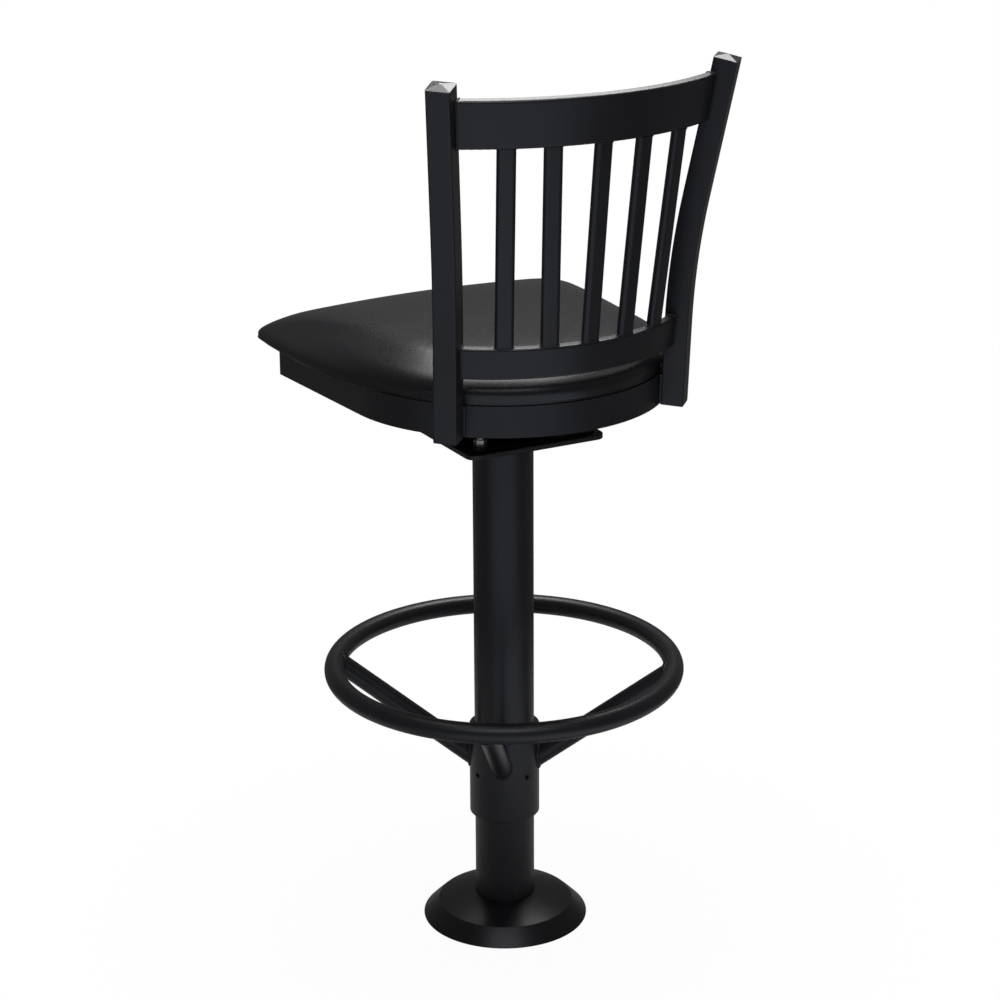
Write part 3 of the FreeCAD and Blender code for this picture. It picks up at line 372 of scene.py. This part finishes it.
# Seat cushion: foam and vinyl pulled over the board, swollen by a cloth simulation
cushionValues = {
    "bottom": 0.7544, "height": 0.0502, "rear": 0.201, "halfWidth": 0.214, "reach": 0.190,
    "boardInset": 0.0027, "boardCorner": 0.010, "boardBow": 0.001, "boardOverhang": 0.028,
    "boardSwing": 0.01, "roomHeight": 0.0120,
    "rearPoints": 24, "sidePoints": 30, "cornerPoints": 12, "frontPoints": 14,
    "ringsPerSection": 3, "heldRings": 4, "easeFrom": 16, "easeOver": 12,
    "pressure": 4.0, "frames": 20, "shrink": 0.0005, "moveCap": 0.0008, "calmRounds": 12,
    "easeFactor": 0.5, "easeRounds": 16, "fill": 0.7,
    "tuckDepth": 0.0008, "tuckWidth": 0.0034, "tucks": (-0.024, -0.008, 0.008, 0.024),
    "tuckLow": 0.757, "tuckHigh": 0.776, "tuckClear": 0.001, "cornerDegrees": 44.7,
    # height, rear radius, half width, reach, corner rounding, front bow and side swing, as shares
    "sections": (
        (0.00, 0.991, 1.005, 1.144, 0.042, 0.031, 0.246),
        (0.06, 0.992, 1.054, 1.191, 0.057, 0.036, 0.187),
        (0.08, 0.993, 1.069, 1.208, 0.062, 0.037, 0.172),
        (0.10, 0.994, 1.074, 1.214, 0.067, 0.038, 0.160),
        (0.12, 0.9955, 1.070, 1.211, 0.072, 0.039, 0.150),
        (0.14, 0.997, 1.073, 1.216, 0.077, 0.040, 0.141),
        (0.24, 1.004, 1.070, 1.226, 0.087, 0.045, 0.103),
        (0.34, 1.002, 1.031, 1.228, 0.103, 0.048, 0.070),
        (0.46, 0.984, 0.972, 1.204, 0.132, 0.055, 0.037),
        (0.58, 0.948, 0.915, 1.170, 0.180, 0.060, 0.013),
        (0.69, 0.885, 0.862, 1.089, 0.234, 0.066, 0.004),
        (0.78, 0.825, 0.820, 0.982, 0.295, 0.073, 0.006),
        (0.86, 0.765, 0.758, 0.876, 0.348, 0.072, 0.010),
        (0.92, 0.700, 0.662, 0.755, 0.373, 0.060, 0.018),
        (0.965, 0.600, 0.522, 0.597, 0.337, 0.043, 0.024),
        (0.99, 0.410, 0.341, 0.396, 0.240, 0.026, 0.027),
        (1.00, 0.170, 0.140, 0.168, 0.095, 0.011, 0.031),
    ),
}


def throughMiddle(start, middle, end, count):
    # points on a shallow curve from start through middle, without its end
    control = middle * 2 - (start + end) / 2
    return [start * (1 - step / count) ** 2 + control * (2 * step / count * (1 - step / count))
            + end * (step / count) ** 2 for step in range(count)]


def padRing(rear, halfWidth, reach, rounding, bow, swing, level):
    # one closed line round the pad, from the middle of its back by way of the sitter's left
    values = cushionValues
    angle = math.acos(min(rear / math.hypot(halfWidth, reach), 1)) - math.atan2(reach, halfWidth)
    angle += swing * math.pi / 2
    touch = Vector((rear * math.cos(angle), rear * math.sin(angle), level))
    forwards = Vector((math.sin(angle), -math.cos(angle), 0))
    corner = Vector((halfWidth, -reach, level))
    bend = math.atan2(forwards.cross(corner - touch).z, forwards.dot(corner - touch))
    sideEnd = Quaternion((0, 0, 1), 2 * bend) @ forwards
    sideStart = corner - sideEnd * rounding
    frontStart = corner - Vector((rounding, 0, 0))
    cornerMiddle = corner - (sideEnd + Vector((1, 0, 0))) * (rounding * (1 - math.sqrt(0.5)))
    frontEnd = Vector((-frontStart.x, frontStart.y, level))
    chord = sideStart - touch
    bend = math.atan2(forwards.cross(chord).z, forwards.dot(chord))
    bulge = Vector((0, 0, 1)).cross(chord) * (math.tan(bend / 2) / 2)
    sideMiddle = (touch + sideStart) / 2 - bulge
    half = [turned(math.degrees(math.pi / 2 - angle) * step / values["rearPoints"], rear, level)
            for step in range(values["rearPoints"])]
    half += throughMiddle(touch, sideMiddle, sideStart, values["sidePoints"])
    half += throughMiddle(sideStart, cornerMiddle, frontStart, values["cornerPoints"])
    half += throughMiddle(frontStart, Vector((0, -reach - bow, level)), frontEnd,
                          2 * values["frontPoints"])[:values["frontPoints"] + 1]
    return half + [Vector((-point.x, point.y, point.z)) for point in reversed(half[1:-1])]


def sectionAt(place):
    # the table of sections, smoothly read between its rows
    table = cushionValues["sections"]
    index = min(int(place), len(table) - 2)
    share = place - index
    rows = [table[max(index - 1, 0)], table[index], table[index + 1],
            table[min(index + 2, len(table) - 1)]]
    found = []
    for before, first, second, after in zip(*rows):
        slopeIn, slopeOut = (second - before) / 2, (after - first) / 2
        found.append((2 * share ** 3 - 3 * share ** 2 + 1) * first
                     + (share ** 3 - 2 * share ** 2 + share) * slopeIn
                     + (3 * share ** 2 - 2 * share ** 3) * second
                     + (share ** 3 - share ** 2) * slopeOut)
    return found


def cushionRings(values):
    # the board's room from its ceiling down, then the pad from its lower edge up to the crown
    bottom, inset, perSection = values["bottom"], values["boardInset"], values["ringsPerSection"]
    roomReach = values["reach"] + values["boardOverhang"] - inset
    rings = [padRing(values["rear"] - inset, values["halfWidth"] - inset, roomReach,
                     values["boardCorner"], values["boardBow"], values["boardSwing"], level)
             for level in (bottom + values["roomHeight"], bottom)]
    for step in range((len(values["sections"]) - 1) * perSection + 1):
        height, rear, width, reach, rounding, bow, swing = sectionAt(step / perSection)
        rings.append(padRing(rear * values["rear"], width * values["halfWidth"],
                             reach * values["reach"], rounding * values["rear"],
                             bow * values["reach"], swing, bottom + height * values["height"]))
    return rings


def makeCushion(values):
    rings = cushionRings(values)
    around = len(rings[0])
    shape = bmesh.new()
    bmesh.ops.create_grid(shape, x_segments=around, y_segments=len(rings) - 1, size=1)
    weights = shape.verts.layers.deform.verify()
    for vertex in shape.verts:
        column = round((vertex.co.x + 1) / 2 * around)
        row = round((vertex.co.y + 1) / 2 * (len(rings) - 1))
        vertex.co = rings[row][column % around]
        vertex[weights][0] = 1.0 if row < values["heldRings"] else 0.0
        vertex[weights][1] = min(max((row - values["easeFrom"]) / values["easeOver"], 0), 1)
    bmesh.ops.remove_doubles(shape, verts=shape.verts, dist=mergeDistance)
    rims = [edge for edge in shape.edges if edge.is_boundary]
    ends = bmesh.ops.holes_fill(shape, edges=rims, sides=0)["faces"]
    bmesh.ops.poke(shape, faces=ends)
    bmesh.ops.recalc_face_normals(shape, faces=shape.faces)
    mesh = bpy.data.meshes.new("seatCushion")
    shape.to_mesh(mesh)
    shape.free()
    cushion = addObject("seatCushion", mesh)
    for name in ("held", "eased"):
        cushion.vertex_groups.new(name=name)
    return cushion


def swellCushion(cushion, values):
    # the skin swells under pressure from a slightly smaller pad, and no point moves past the cap
    mesh = cushion.data
    held = cushion.vertex_groups["held"].index
    target = [vertex.co.copy() for vertex in mesh.vertices]
    for vertex, normal in zip(mesh.vertices, [vertex.normal.copy() for vertex in mesh.vertices]):
        loose = 1 - sum(group.weight for group in vertex.groups if group.group == held)
        vertex.co -= normal * values["shrink"] * loose
    cloth = cushion.modifiers.new("swell", "CLOTH")
    cloth.settings.vertex_group_mass = "held"
    cloth.settings.use_pressure = True
    cloth.settings.uniform_pressure_force = values["pressure"]
    cloth.settings.effector_weights.gravity = 0
    for number in range(1, values["frames"] + 1):
        bpy.context.scene.frame_set(number)
    swollen = meshOf(cushion)
    cushion.modifiers.clear()
    steps = []
    for vertex, found, start in zip(mesh.vertices, swollen.vertices, target):
        outwards = min(max((found.co - start).dot(vertex.normal), 0), values["moveCap"])
        steps.append(vertex.normal * outwards)
    for _ in range(values["calmRounds"]):
        # taut vinyl doesn't wrinkle, so each point moves as its neighbours do
        sums = [step.copy() for step in steps]
        counts = [1] * len(steps)
        for edge in mesh.edges:
            first, second = edge.vertices
            sums[first] += steps[second]
            sums[second] += steps[first]
            counts[first] += 1
            counts[second] += 1
        steps = [total / count for total, count in zip(sums, counts)]
    for vertex, start, step in zip(mesh.vertices, target, steps):
        vertex.co = start + step
    bpy.data.meshes.remove(swollen)
    bpy.context.scene.frame_set(1)


def tuckCorners(cushion, values):
    # the vinyl is folded into short tucks under each front corner
    corner = math.radians(values["cornerDegrees"])
    mesh = cushion.data
    normals = [vertex.normal.copy() for vertex in mesh.vertices]
    for vertex, normal in zip(mesh.vertices, normals):
        x, y, z = vertex.co
        fade = (values["tuckHigh"] - z) / (values["tuckHigh"] - values["tuckLow"])
        fade = min(max(fade, 0), 1)
        isOnBoard = z < values["bottom"] + values["tuckClear"]
        if y > -values["reach"] / 2 or isOnBoard or fade == 0:
            continue
        beside = (math.atan2(abs(x), -y) - corner) * math.hypot(x, y)
        depth = sum(math.exp(-((beside - place) / values["tuckWidth"]) ** 2)
                    for place in values["tucks"])
        vertex.co -= normal * (depth * values["tuckDepth"] * fade)


cushionStart = makeCushion(cushionValues)
swellCushion(cushionStart, cushionValues)
tuckCorners(cushionStart, cushionValues)
# taut vinyl bridges the creases between the pad's faces
eased = cushionStart.modifiers.new("eased", "SMOOTH")
eased.factor, eased.iterations = cushionValues["easeFactor"], cushionValues["easeRounds"]
eased.vertex_group = "eased"
finer = cushionStart.modifiers.new("finer", "SUBSURF")
finer.levels = finer.render_levels = 1
cushionMesh = meshOf(cushionStart)
bpy.data.objects.remove(cushionStart)
seatCushion = makePiece("seatCushion", cushionMesh, "seat", grainedVinyl)
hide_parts("seat_cushion")
print("cushion made:", len(cushionMesh.polygons), "faces")


# Weld beads: short overlapping puddles along each joint, coated with the frame
beadValues = {
    "rippleMm": 2.2, "rippleShare": 0.12, "pointsPerRipple": 4, "fewestPoints": 8,
    "endShare": 0.35, "sides": 8, "shortest": 1e-9,
}


def weldBead(name, points, width, body, closed=False):
    # a rippled bead of that width, in metres, along the points
    values = beadValues
    curve = bpy.data.curves.new(name, "CURVE")
    curve.dimensions = "3D"
    curve.bevel_depth = width / 2
    curve.bevel_resolution = values["sides"] // 4
    curve.use_fill_caps = not closed
    line = points + points[:1] if closed else points
    marks = [0.0]
    for a, b in zip(line, line[1:]):
        marks.append(marks[-1] + (b - a).length)
    ripple = values["pointsPerRipple"]
    count = max(values["fewestPoints"], round(marks[-1] / (values["rippleMm"] / 1000) * ripple))
    spline = curve.splines.new("POLY")
    steps = count if closed else count + 1
    spline.points.add(steps - 1)
    segment = 0
    for number in range(steps):
        along = marks[-1] * number / count
        while segment < len(line) - 2 and marks[segment + 1] < along:
            segment += 1
        span = max(marks[segment + 1] - marks[segment], values["shortest"])
        share = min(max((along - marks[segment]) / span, 0), 1)
        spline.points[number].co = (*line[segment].lerp(line[segment + 1], share), 1)
        swell = 1 if number % ripple < ripple / 2 else -1
        spline.points[number].radius = 1 + values["rippleShare"] * swell
        if not closed and number in (0, steps - 1):
            spline.points[number].radius = values["endShare"]
    spline.use_cyclic_u = closed
    holder = addObject(name + "Line", curve)
    bpy.context.view_layer.update()
    mesh = meshOf(holder)
    bpy.data.objects.remove(holder)
    shape = bmesh.new()
    shape.from_mesh(mesh)
    bmesh.ops.remove_doubles(shape, verts=shape.verts, dist=mergeDistance)
    bmesh.ops.recalc_face_normals(shape, faces=shape.faces)
    shape.to_mesh(mesh)
    shape.free()
    return makePiece(name, mesh, body, blackPowderCoat)


# Foot ring joints: each spoke meets the collar and the ring along a curved line
ringJoints = {
    "turn": 33.6, "count": 4, "spokeRadius": 0.0125, "collarRadius": 0.0448,
    "ringCircle": 0.2159, "ringRadius": 0.0127, "ringLevel": 0.3485, "rise": 0.124,
    "beadWidth": 0.0042, "steps": 40, "searchBack": 0.03,
}


def meetingLine(values, turn, inside):
    # where a spoke's skin enters the collar or the ring
    slope = values["rise"] / (values["ringCircle"] - values["collarRadius"])
    out = turned(turn, 1, 0)
    across = out.cross(Vector((0, 0, 1)))
    along = (out + Vector((0, 0, slope))).normalized()
    lift = across.cross(along)
    start = turned(turn, values["collarRadius"], values["ringLevel"] - values["rise"])
    length = (values["ringCircle"] - values["collarRadius"]) * math.hypot(1, slope)
    points = []
    for step in range(values["steps"]):
        angle = 2 * math.pi * step / values["steps"]
        skin = (across * math.cos(angle) + lift * math.sin(angle)) * values["spokeRadius"]
        low, high = length / 2, length
        if inside == "collar":
            low, high = -values["searchBack"], length / 2
        for _ in range(searchRounds):
            middle = (low + high) / 2
            point = start + skin + along * middle
            reach = math.hypot(point.x, point.y)
            if inside == "collar":
                isInside = reach < values["collarRadius"]
                low, high = (middle, high) if isInside else (low, middle)
            else:
                isInside = math.hypot(reach - values["ringCircle"],
                                      point.z - values["ringLevel"]) < values["ringRadius"]
                low, high = (low, middle) if isInside else (middle, high)
        points.append(point)
    return points


for number in range(ringJoints["count"]):
    spokeTurn = ringJoints["turn"] + 360 / ringJoints["count"] * number
    for place in ("collar", "ring"):
        weldBead("spokeWeld_%s_%d" % (place, number + 1),
                 meetingLine(ringJoints, spokeTurn, place), ringJoints["beadWidth"],
                 "foot_ring", closed=True)
print("foot ring welded")


# Back joints: rails to posts, slats to rails, posts to the seat band
backJoints = {
    "postTurn": 45.5, "postSide": 0.0286, "bandRadius": 0.201, "bandTop": 0.7543,
    "postBottom": 0.717, "bendLevel": 0.8955, "lowerLean": (0.0155, 0.0495),
    "upperLean": (0.1185, 0.1845), "railThickness": 0.0127, "railCorner": 0.003,
    "widestTurn": 80, "slatWidth": 0.0222, "slatThickness": 0.0111, "slatFlat": 1e-5,
    "slatTopSpacing": 0.056, "slatBottomSpacing": 0.050, "slatDrift": (0, 0.005, 0, 0, 0),
    # each bead's width, and how far its middle stands off the joint
    "railBead": 0.0024, "postBead": 0.0052, "slatBead": 0.0018,
    "railLift": 0.0006, "postLift": 0.0002, "slatLift": 0.0004,
    "postBeadInset": 0.001, "postBeadSteps": 8,
    "top_rail": {
        "height": 0.0572, "top": 1.1218, "radius": 0.319, "middle": 0.2568, "tilt": 10.4},
    "lower_rail": {
        "height": 0.0381, "top": 0.8282, "radius": 0.236, "middle": 0.218, "tilt": 6.4},
}


def postLine(side):
    # the post's foot, its bend and the ways its lower and upper lengths lean
    values = backJoints
    lower = Vector((side * values["lowerLean"][0], values["lowerLean"][1], 1))
    upper = Vector((side * values["upperLean"][0], values["upperLean"][1], 1))
    foot = turned(side * values["postTurn"], values["bandRadius"] + values["postSide"] / 2,
                  values["postBottom"])
    corner = foot + lower * (values["bendLevel"] - values["postBottom"])
    return foot, corner, lower.normalized(), upper.normalized()


def postAxes(side):
    # the post's two cross directions below its bend, and the turn that takes them above it
    foot, corner, lower, upper = postLine(side)
    out = turned(side * backJoints["postTurn"], 1, 0)
    out = (out - lower * out.dot(lower)).normalized()
    return out, lower.cross(out), lower.rotation_difference(upper)


def roundedOutline(width, depth, radius, steps=6):
    # corner-rounded rectangle as flat points, anticlockwise
    points = []
    for quarter, (sideX, sideY) in enumerate(((1, 1), (-1, 1), (-1, -1), (1, -1))):
        for step in range(steps + 1):
            angle = math.radians(90 * quarter + 90 * step / steps)
            points.append((sideX * (width / 2 - radius) + radius * math.cos(angle),
                           sideY * (depth / 2 - radius) + radius * math.sin(angle)))
    return points


def railEndLine(rail, side):
    # the rail's outline where it stops on the post
    values = backJoints[rail]
    half = backJoints["railThickness"] / 2
    tilt = math.radians(values["tilt"])
    reach = values["radius"] - half * math.cos(tilt) - values["height"] / 2 * math.sin(tilt)
    level = values["top"] + half * math.sin(tilt) - values["height"] / 2 * math.cos(tilt)
    centre = Vector((0, values["middle"] - values["radius"], level))
    foot, corner, _, _ = postLine(side)
    _, across, turn = postAxes(side)
    start = corner if rail == "top_rail" else foot
    face = across * side
    if rail == "top_rail":
        face = turn @ face
    stop = start + face * (backJoints["postSide"] / 2)
    low, high = 0.0, math.radians(backJoints["widestTurn"])
    for _ in range(searchRounds):
        angle = (low + high) / 2
        point = centre + Vector((side * reach * math.sin(angle), reach * math.cos(angle), 0))
        low, high = (angle, high) if (point - stop).dot(face) > 0 else (low, angle)
    radial = Vector((side * math.sin(angle), math.cos(angle), 0))
    along = Vector((side * math.cos(angle), -math.sin(angle), 0))
    deep = radial * math.cos(tilt) - Vector((0, 0, math.sin(tilt)))
    tall = radial * math.sin(tilt) + Vector((0, 0, math.cos(tilt)))
    line = []
    for u, v in roundedOutline(backJoints["railThickness"], values["height"],
                               backJoints["railCorner"]):
        offset = point + deep * u + tall * v
        line.append(offset - along * ((offset - stop).dot(face) / along.dot(face))
                    + face * backJoints["railLift"])
    return line


def postEdgeLine(side, edge):
    # one of the two lines along which a post meets the seat band
    values = backJoints
    foot, _, lower, _ = postLine(side)
    out, across, _ = postAxes(side)
    half = values["postSide"] / 2
    start = values["postBottom"] + values["postBeadInset"]
    height = values["bandTop"] - values["postBottom"] - 2 * values["postBeadInset"]
    line = []
    for step in range(values["postBeadSteps"] + 1):
        level = start + height * step / values["postBeadSteps"]
        middle = foot + lower * ((level - foot.z) / lower.z)
        line.append(middle - out * (half + values["postLift"]) + across * (edge * half))
    return line


for side, sideName in ((1, "left"), (-1, "right")):
    for rail in ("top_rail", "lower_rail"):
        weldBead("railWeld_%s_%s" % (rail, sideName), railEndLine(rail, side),
                 backJoints["railBead"], "seat", closed=True)
    for number, edge in ((2, 1), (1, -1)):
        weldBead("postWeld_%s_%d" % (sideName, number), postEdgeLine(side, edge),
                 backJoints["postBead"], "seat")


def slatEndLines(number):
    # the outline of one slat at the top rail and at the lower rail
    half = backJoints["railThickness"] / 2
    step = (len(backJoints["slatDrift"]) - 1) / 2 - number
    ends = []
    for rail, spacing, drift, isUnder in (
            ("top_rail", "slatTopSpacing", backJoints["slatDrift"][number], True),
            ("lower_rail", "slatBottomSpacing", 0, False)):
        values = backJoints[rail]
        tilt = math.radians(values["tilt"])
        depth = values["height"] if isUnder else 0
        reach = values["radius"] - half * math.cos(tilt) - depth * math.sin(tilt)
        level = values["top"] + half * math.sin(tilt) - depth * math.cos(tilt)
        x = step * backJoints[spacing] + drift
        y = values["middle"] - values["radius"] + math.sqrt(reach ** 2 - x ** 2)
        ends.append((Vector((x, y, level)), math.asin(x / reach)))
    (top, topTurn), (low, lowTurn) = ends
    along = (top - low).normalized()
    facing = (topTurn + lowTurn) / 2
    out = Vector((math.sin(facing), math.cos(facing), 0))
    out = (out - along * out.dot(along)).normalized()
    across = along.cross(out)
    outline = roundedOutline(backJoints["slatWidth"], backJoints["slatThickness"],
                             backJoints["slatThickness"] / 2 - backJoints["slatFlat"])
    lift = backJoints["slatLift"]
    return [[end + along * inwards + across * u + out * v for u, v in outline]
            for end, inwards in ((top, -lift), (low, lift))]


for number in range(len(backJoints["slatDrift"])):
    for place, line in zip(("top", "low"), slatEndLines(number)):
        weldBead("slatWeld_%s_%d" % (place, number + 1), line, backJoints["slatBead"], "seat",
                 closed=True)
print("back welded")


# Column joint under its square plate
columnJoint = {"radius": 0.0381, "level": 0.663, "lift": 0.0004, "beadWidth": 0.005, "steps": 48}
weldBead("columnPlateWeld",
         [turned(360 * step / columnJoint["steps"], columnJoint["radius"] + columnJoint["lift"],
                 columnJoint["level"] - columnJoint["lift"])
          for step in range(columnJoint["steps"])],
         columnJoint["beadWidth"], "base", closed=True)


# Studio: a pale floor that fades into the white background, dim walls, soft lamps overhead and
# a wide weak one at the floor, which stands for the light that a pale floor throws back
studio = {
    "floorColour": "#b8b8b8", "floorRadius": 0.8, "floorSegments": 96, "floorFade": (0.12, 0.6),
    "roomColour": "#ffffff", "ambience": 0.1, "glossShare": 0.025, "floorShare": 0.03,
    "lamps": (
        # name, place, aim, width, height, watts, colour
        ("overheadLamp", (-0.25, -0.45, 2.9), (-0.1, -0.2, 0.8), 1.7, 1.5, 36, "#ffffff"),
        ("farLamp", (-0.55, -0.70, 1.97), (0.0, 0.1, 1.1), 1.0, 0.5, 13, "#ffffff"),
        ("keyLamp", (0.9, 1.7, 3.1), (0.0, 0.0, 0.8), 2.2, 1.4, 21, "#f1f3ff"),
        ("floorBounce", (1.2, 1.9, 0.01), (1.2, 1.9, 1.0), 3.4, 3.0, 17, "#e4e8ff"),
    ),
}


def seenAsBackground(tree, values):
    # 1 for what the camera or glass sees, and a small share for what shiny surfaces mirror
    path = addNode(tree, "ShaderNodeLightPath")
    mirrored = addNode(tree, "ShaderNodeMath", {
        0: path.outputs["Is Glossy Ray"], 1: values["glossShare"]}, operation="MULTIPLY")
    straight = addNode(tree, "ShaderNodeMath", {
        0: path.outputs["Is Camera Ray"], 1: path.outputs["Is Transmission Ray"]},
        operation="MAXIMUM")
    return addNode(tree, "ShaderNodeMath", {
        0: straight.outputs[0], 1: mirrored.outputs[0]}, operation="MAXIMUM").outputs[0]


def makeFloor(values):
    shape = bmesh.new()
    bmesh.ops.create_circle(shape, cap_ends=True, segments=values["floorSegments"],
                            radius=values["floorRadius"])
    mesh = bpy.data.meshes.new("studioFloor")
    shape.to_mesh(mesh)
    shape.free()
    floor = addObject("studioFloor", mesh)
    material, tree, place = startMaterial("paleStudioFloor")
    reach = addNode(tree, "ShaderNodeVectorMath", {0: place}, operation="LENGTH")
    near, far = values["floorFade"]
    faded = addNode(tree, "ShaderNodeMapRange", {
        "Value": reach.outputs["Value"], "From Min": near, "From Max": far,
        "To Min": 1 - values["floorShare"], "To Max": 1.0})
    share = addNode(tree, "ShaderNodeMath", {
        0: seenAsBackground(tree, values), 1: faded.outputs["Result"]}, operation="MULTIPLY")
    paper = addNode(tree, "ShaderNodeBsdfDiffuse", {
        "Color": linearFromHex(values["floorColour"])})
    white = addNode(tree, "ShaderNodeEmission", {
        "Color": linearFromHex(values["roomColour"]), "Strength": 1.0})
    blended = addNode(tree, "ShaderNodeMixShader", {
        0: share.outputs[0], 1: paper.outputs[0], 2: white.outputs[0]})
    addNode(tree, "ShaderNodeOutputMaterial", {"Surface": blended.outputs[0]})
    mesh.materials.append(material)


def makeRoom(values):
    world = bpy.data.worlds.new("studioRoom")
    bpy.context.scene.world = world
    world.use_nodes = True
    tree = world.node_tree
    tree.nodes.clear()
    roomColour = linearFromHex(values["roomColour"])
    walls = addNode(tree, "ShaderNodeBackground", {
        "Color": roomColour, "Strength": values["ambience"]})
    white = addNode(tree, "ShaderNodeBackground", {"Color": roomColour, "Strength": 1.0})
    blended = addNode(tree, "ShaderNodeMixShader", {
        0: seenAsBackground(tree, values), 1: walls.outputs[0], 2: white.outputs[0]})
    addNode(tree, "ShaderNodeOutputWorld", {"Surface": blended.outputs[0]})


def makeLamp(name, place, aim, width, height, watts, colour):
    light = bpy.data.lights.new(name, "AREA")
    light.shape = "RECTANGLE"
    light.size, light.size_y = width, height
    light.energy = watts
    light.color = linearFromHex(colour)[:3]
    lamp = addObject(name, light)
    lamp.location = place
    lamp.rotation_mode = "QUATERNION"
    lamp.rotation_quaternion = (Vector(aim) - Vector(place)).to_track_quat("-Z", "Y")
    lamp.visible_camera = False


makeFloor(studio)
makeRoom(studio)
for lampValues in studio["lamps"]:
    makeLamp(*lampValues)
print("studio lit")


# Camera at the photograph's view
cameraValues = {
    "place": (1.52785, 2.82425, 1.68633), "turnDegrees": (70.8397, 0.2978, 151.5545),
    "lens": 98.107, "sensor": 36.0, "clip": (0.05, 100),
}
cameraData = bpy.data.cameras.new("photoCamera")
cameraData.lens = cameraValues["lens"]
cameraData.sensor_width = cameraValues["sensor"]
cameraData.clip_start, cameraData.clip_end = cameraValues["clip"]
camera = addObject("photoCamera", cameraData)
camera.location = cameraValues["place"]
camera.rotation_euler = [math.radians(angle) for angle in cameraValues["turnDegrees"]]
bpy.context.scene.camera = camera
bpy.context.scene.view_settings.view_transform = "Standard"

print("all pieces in place")
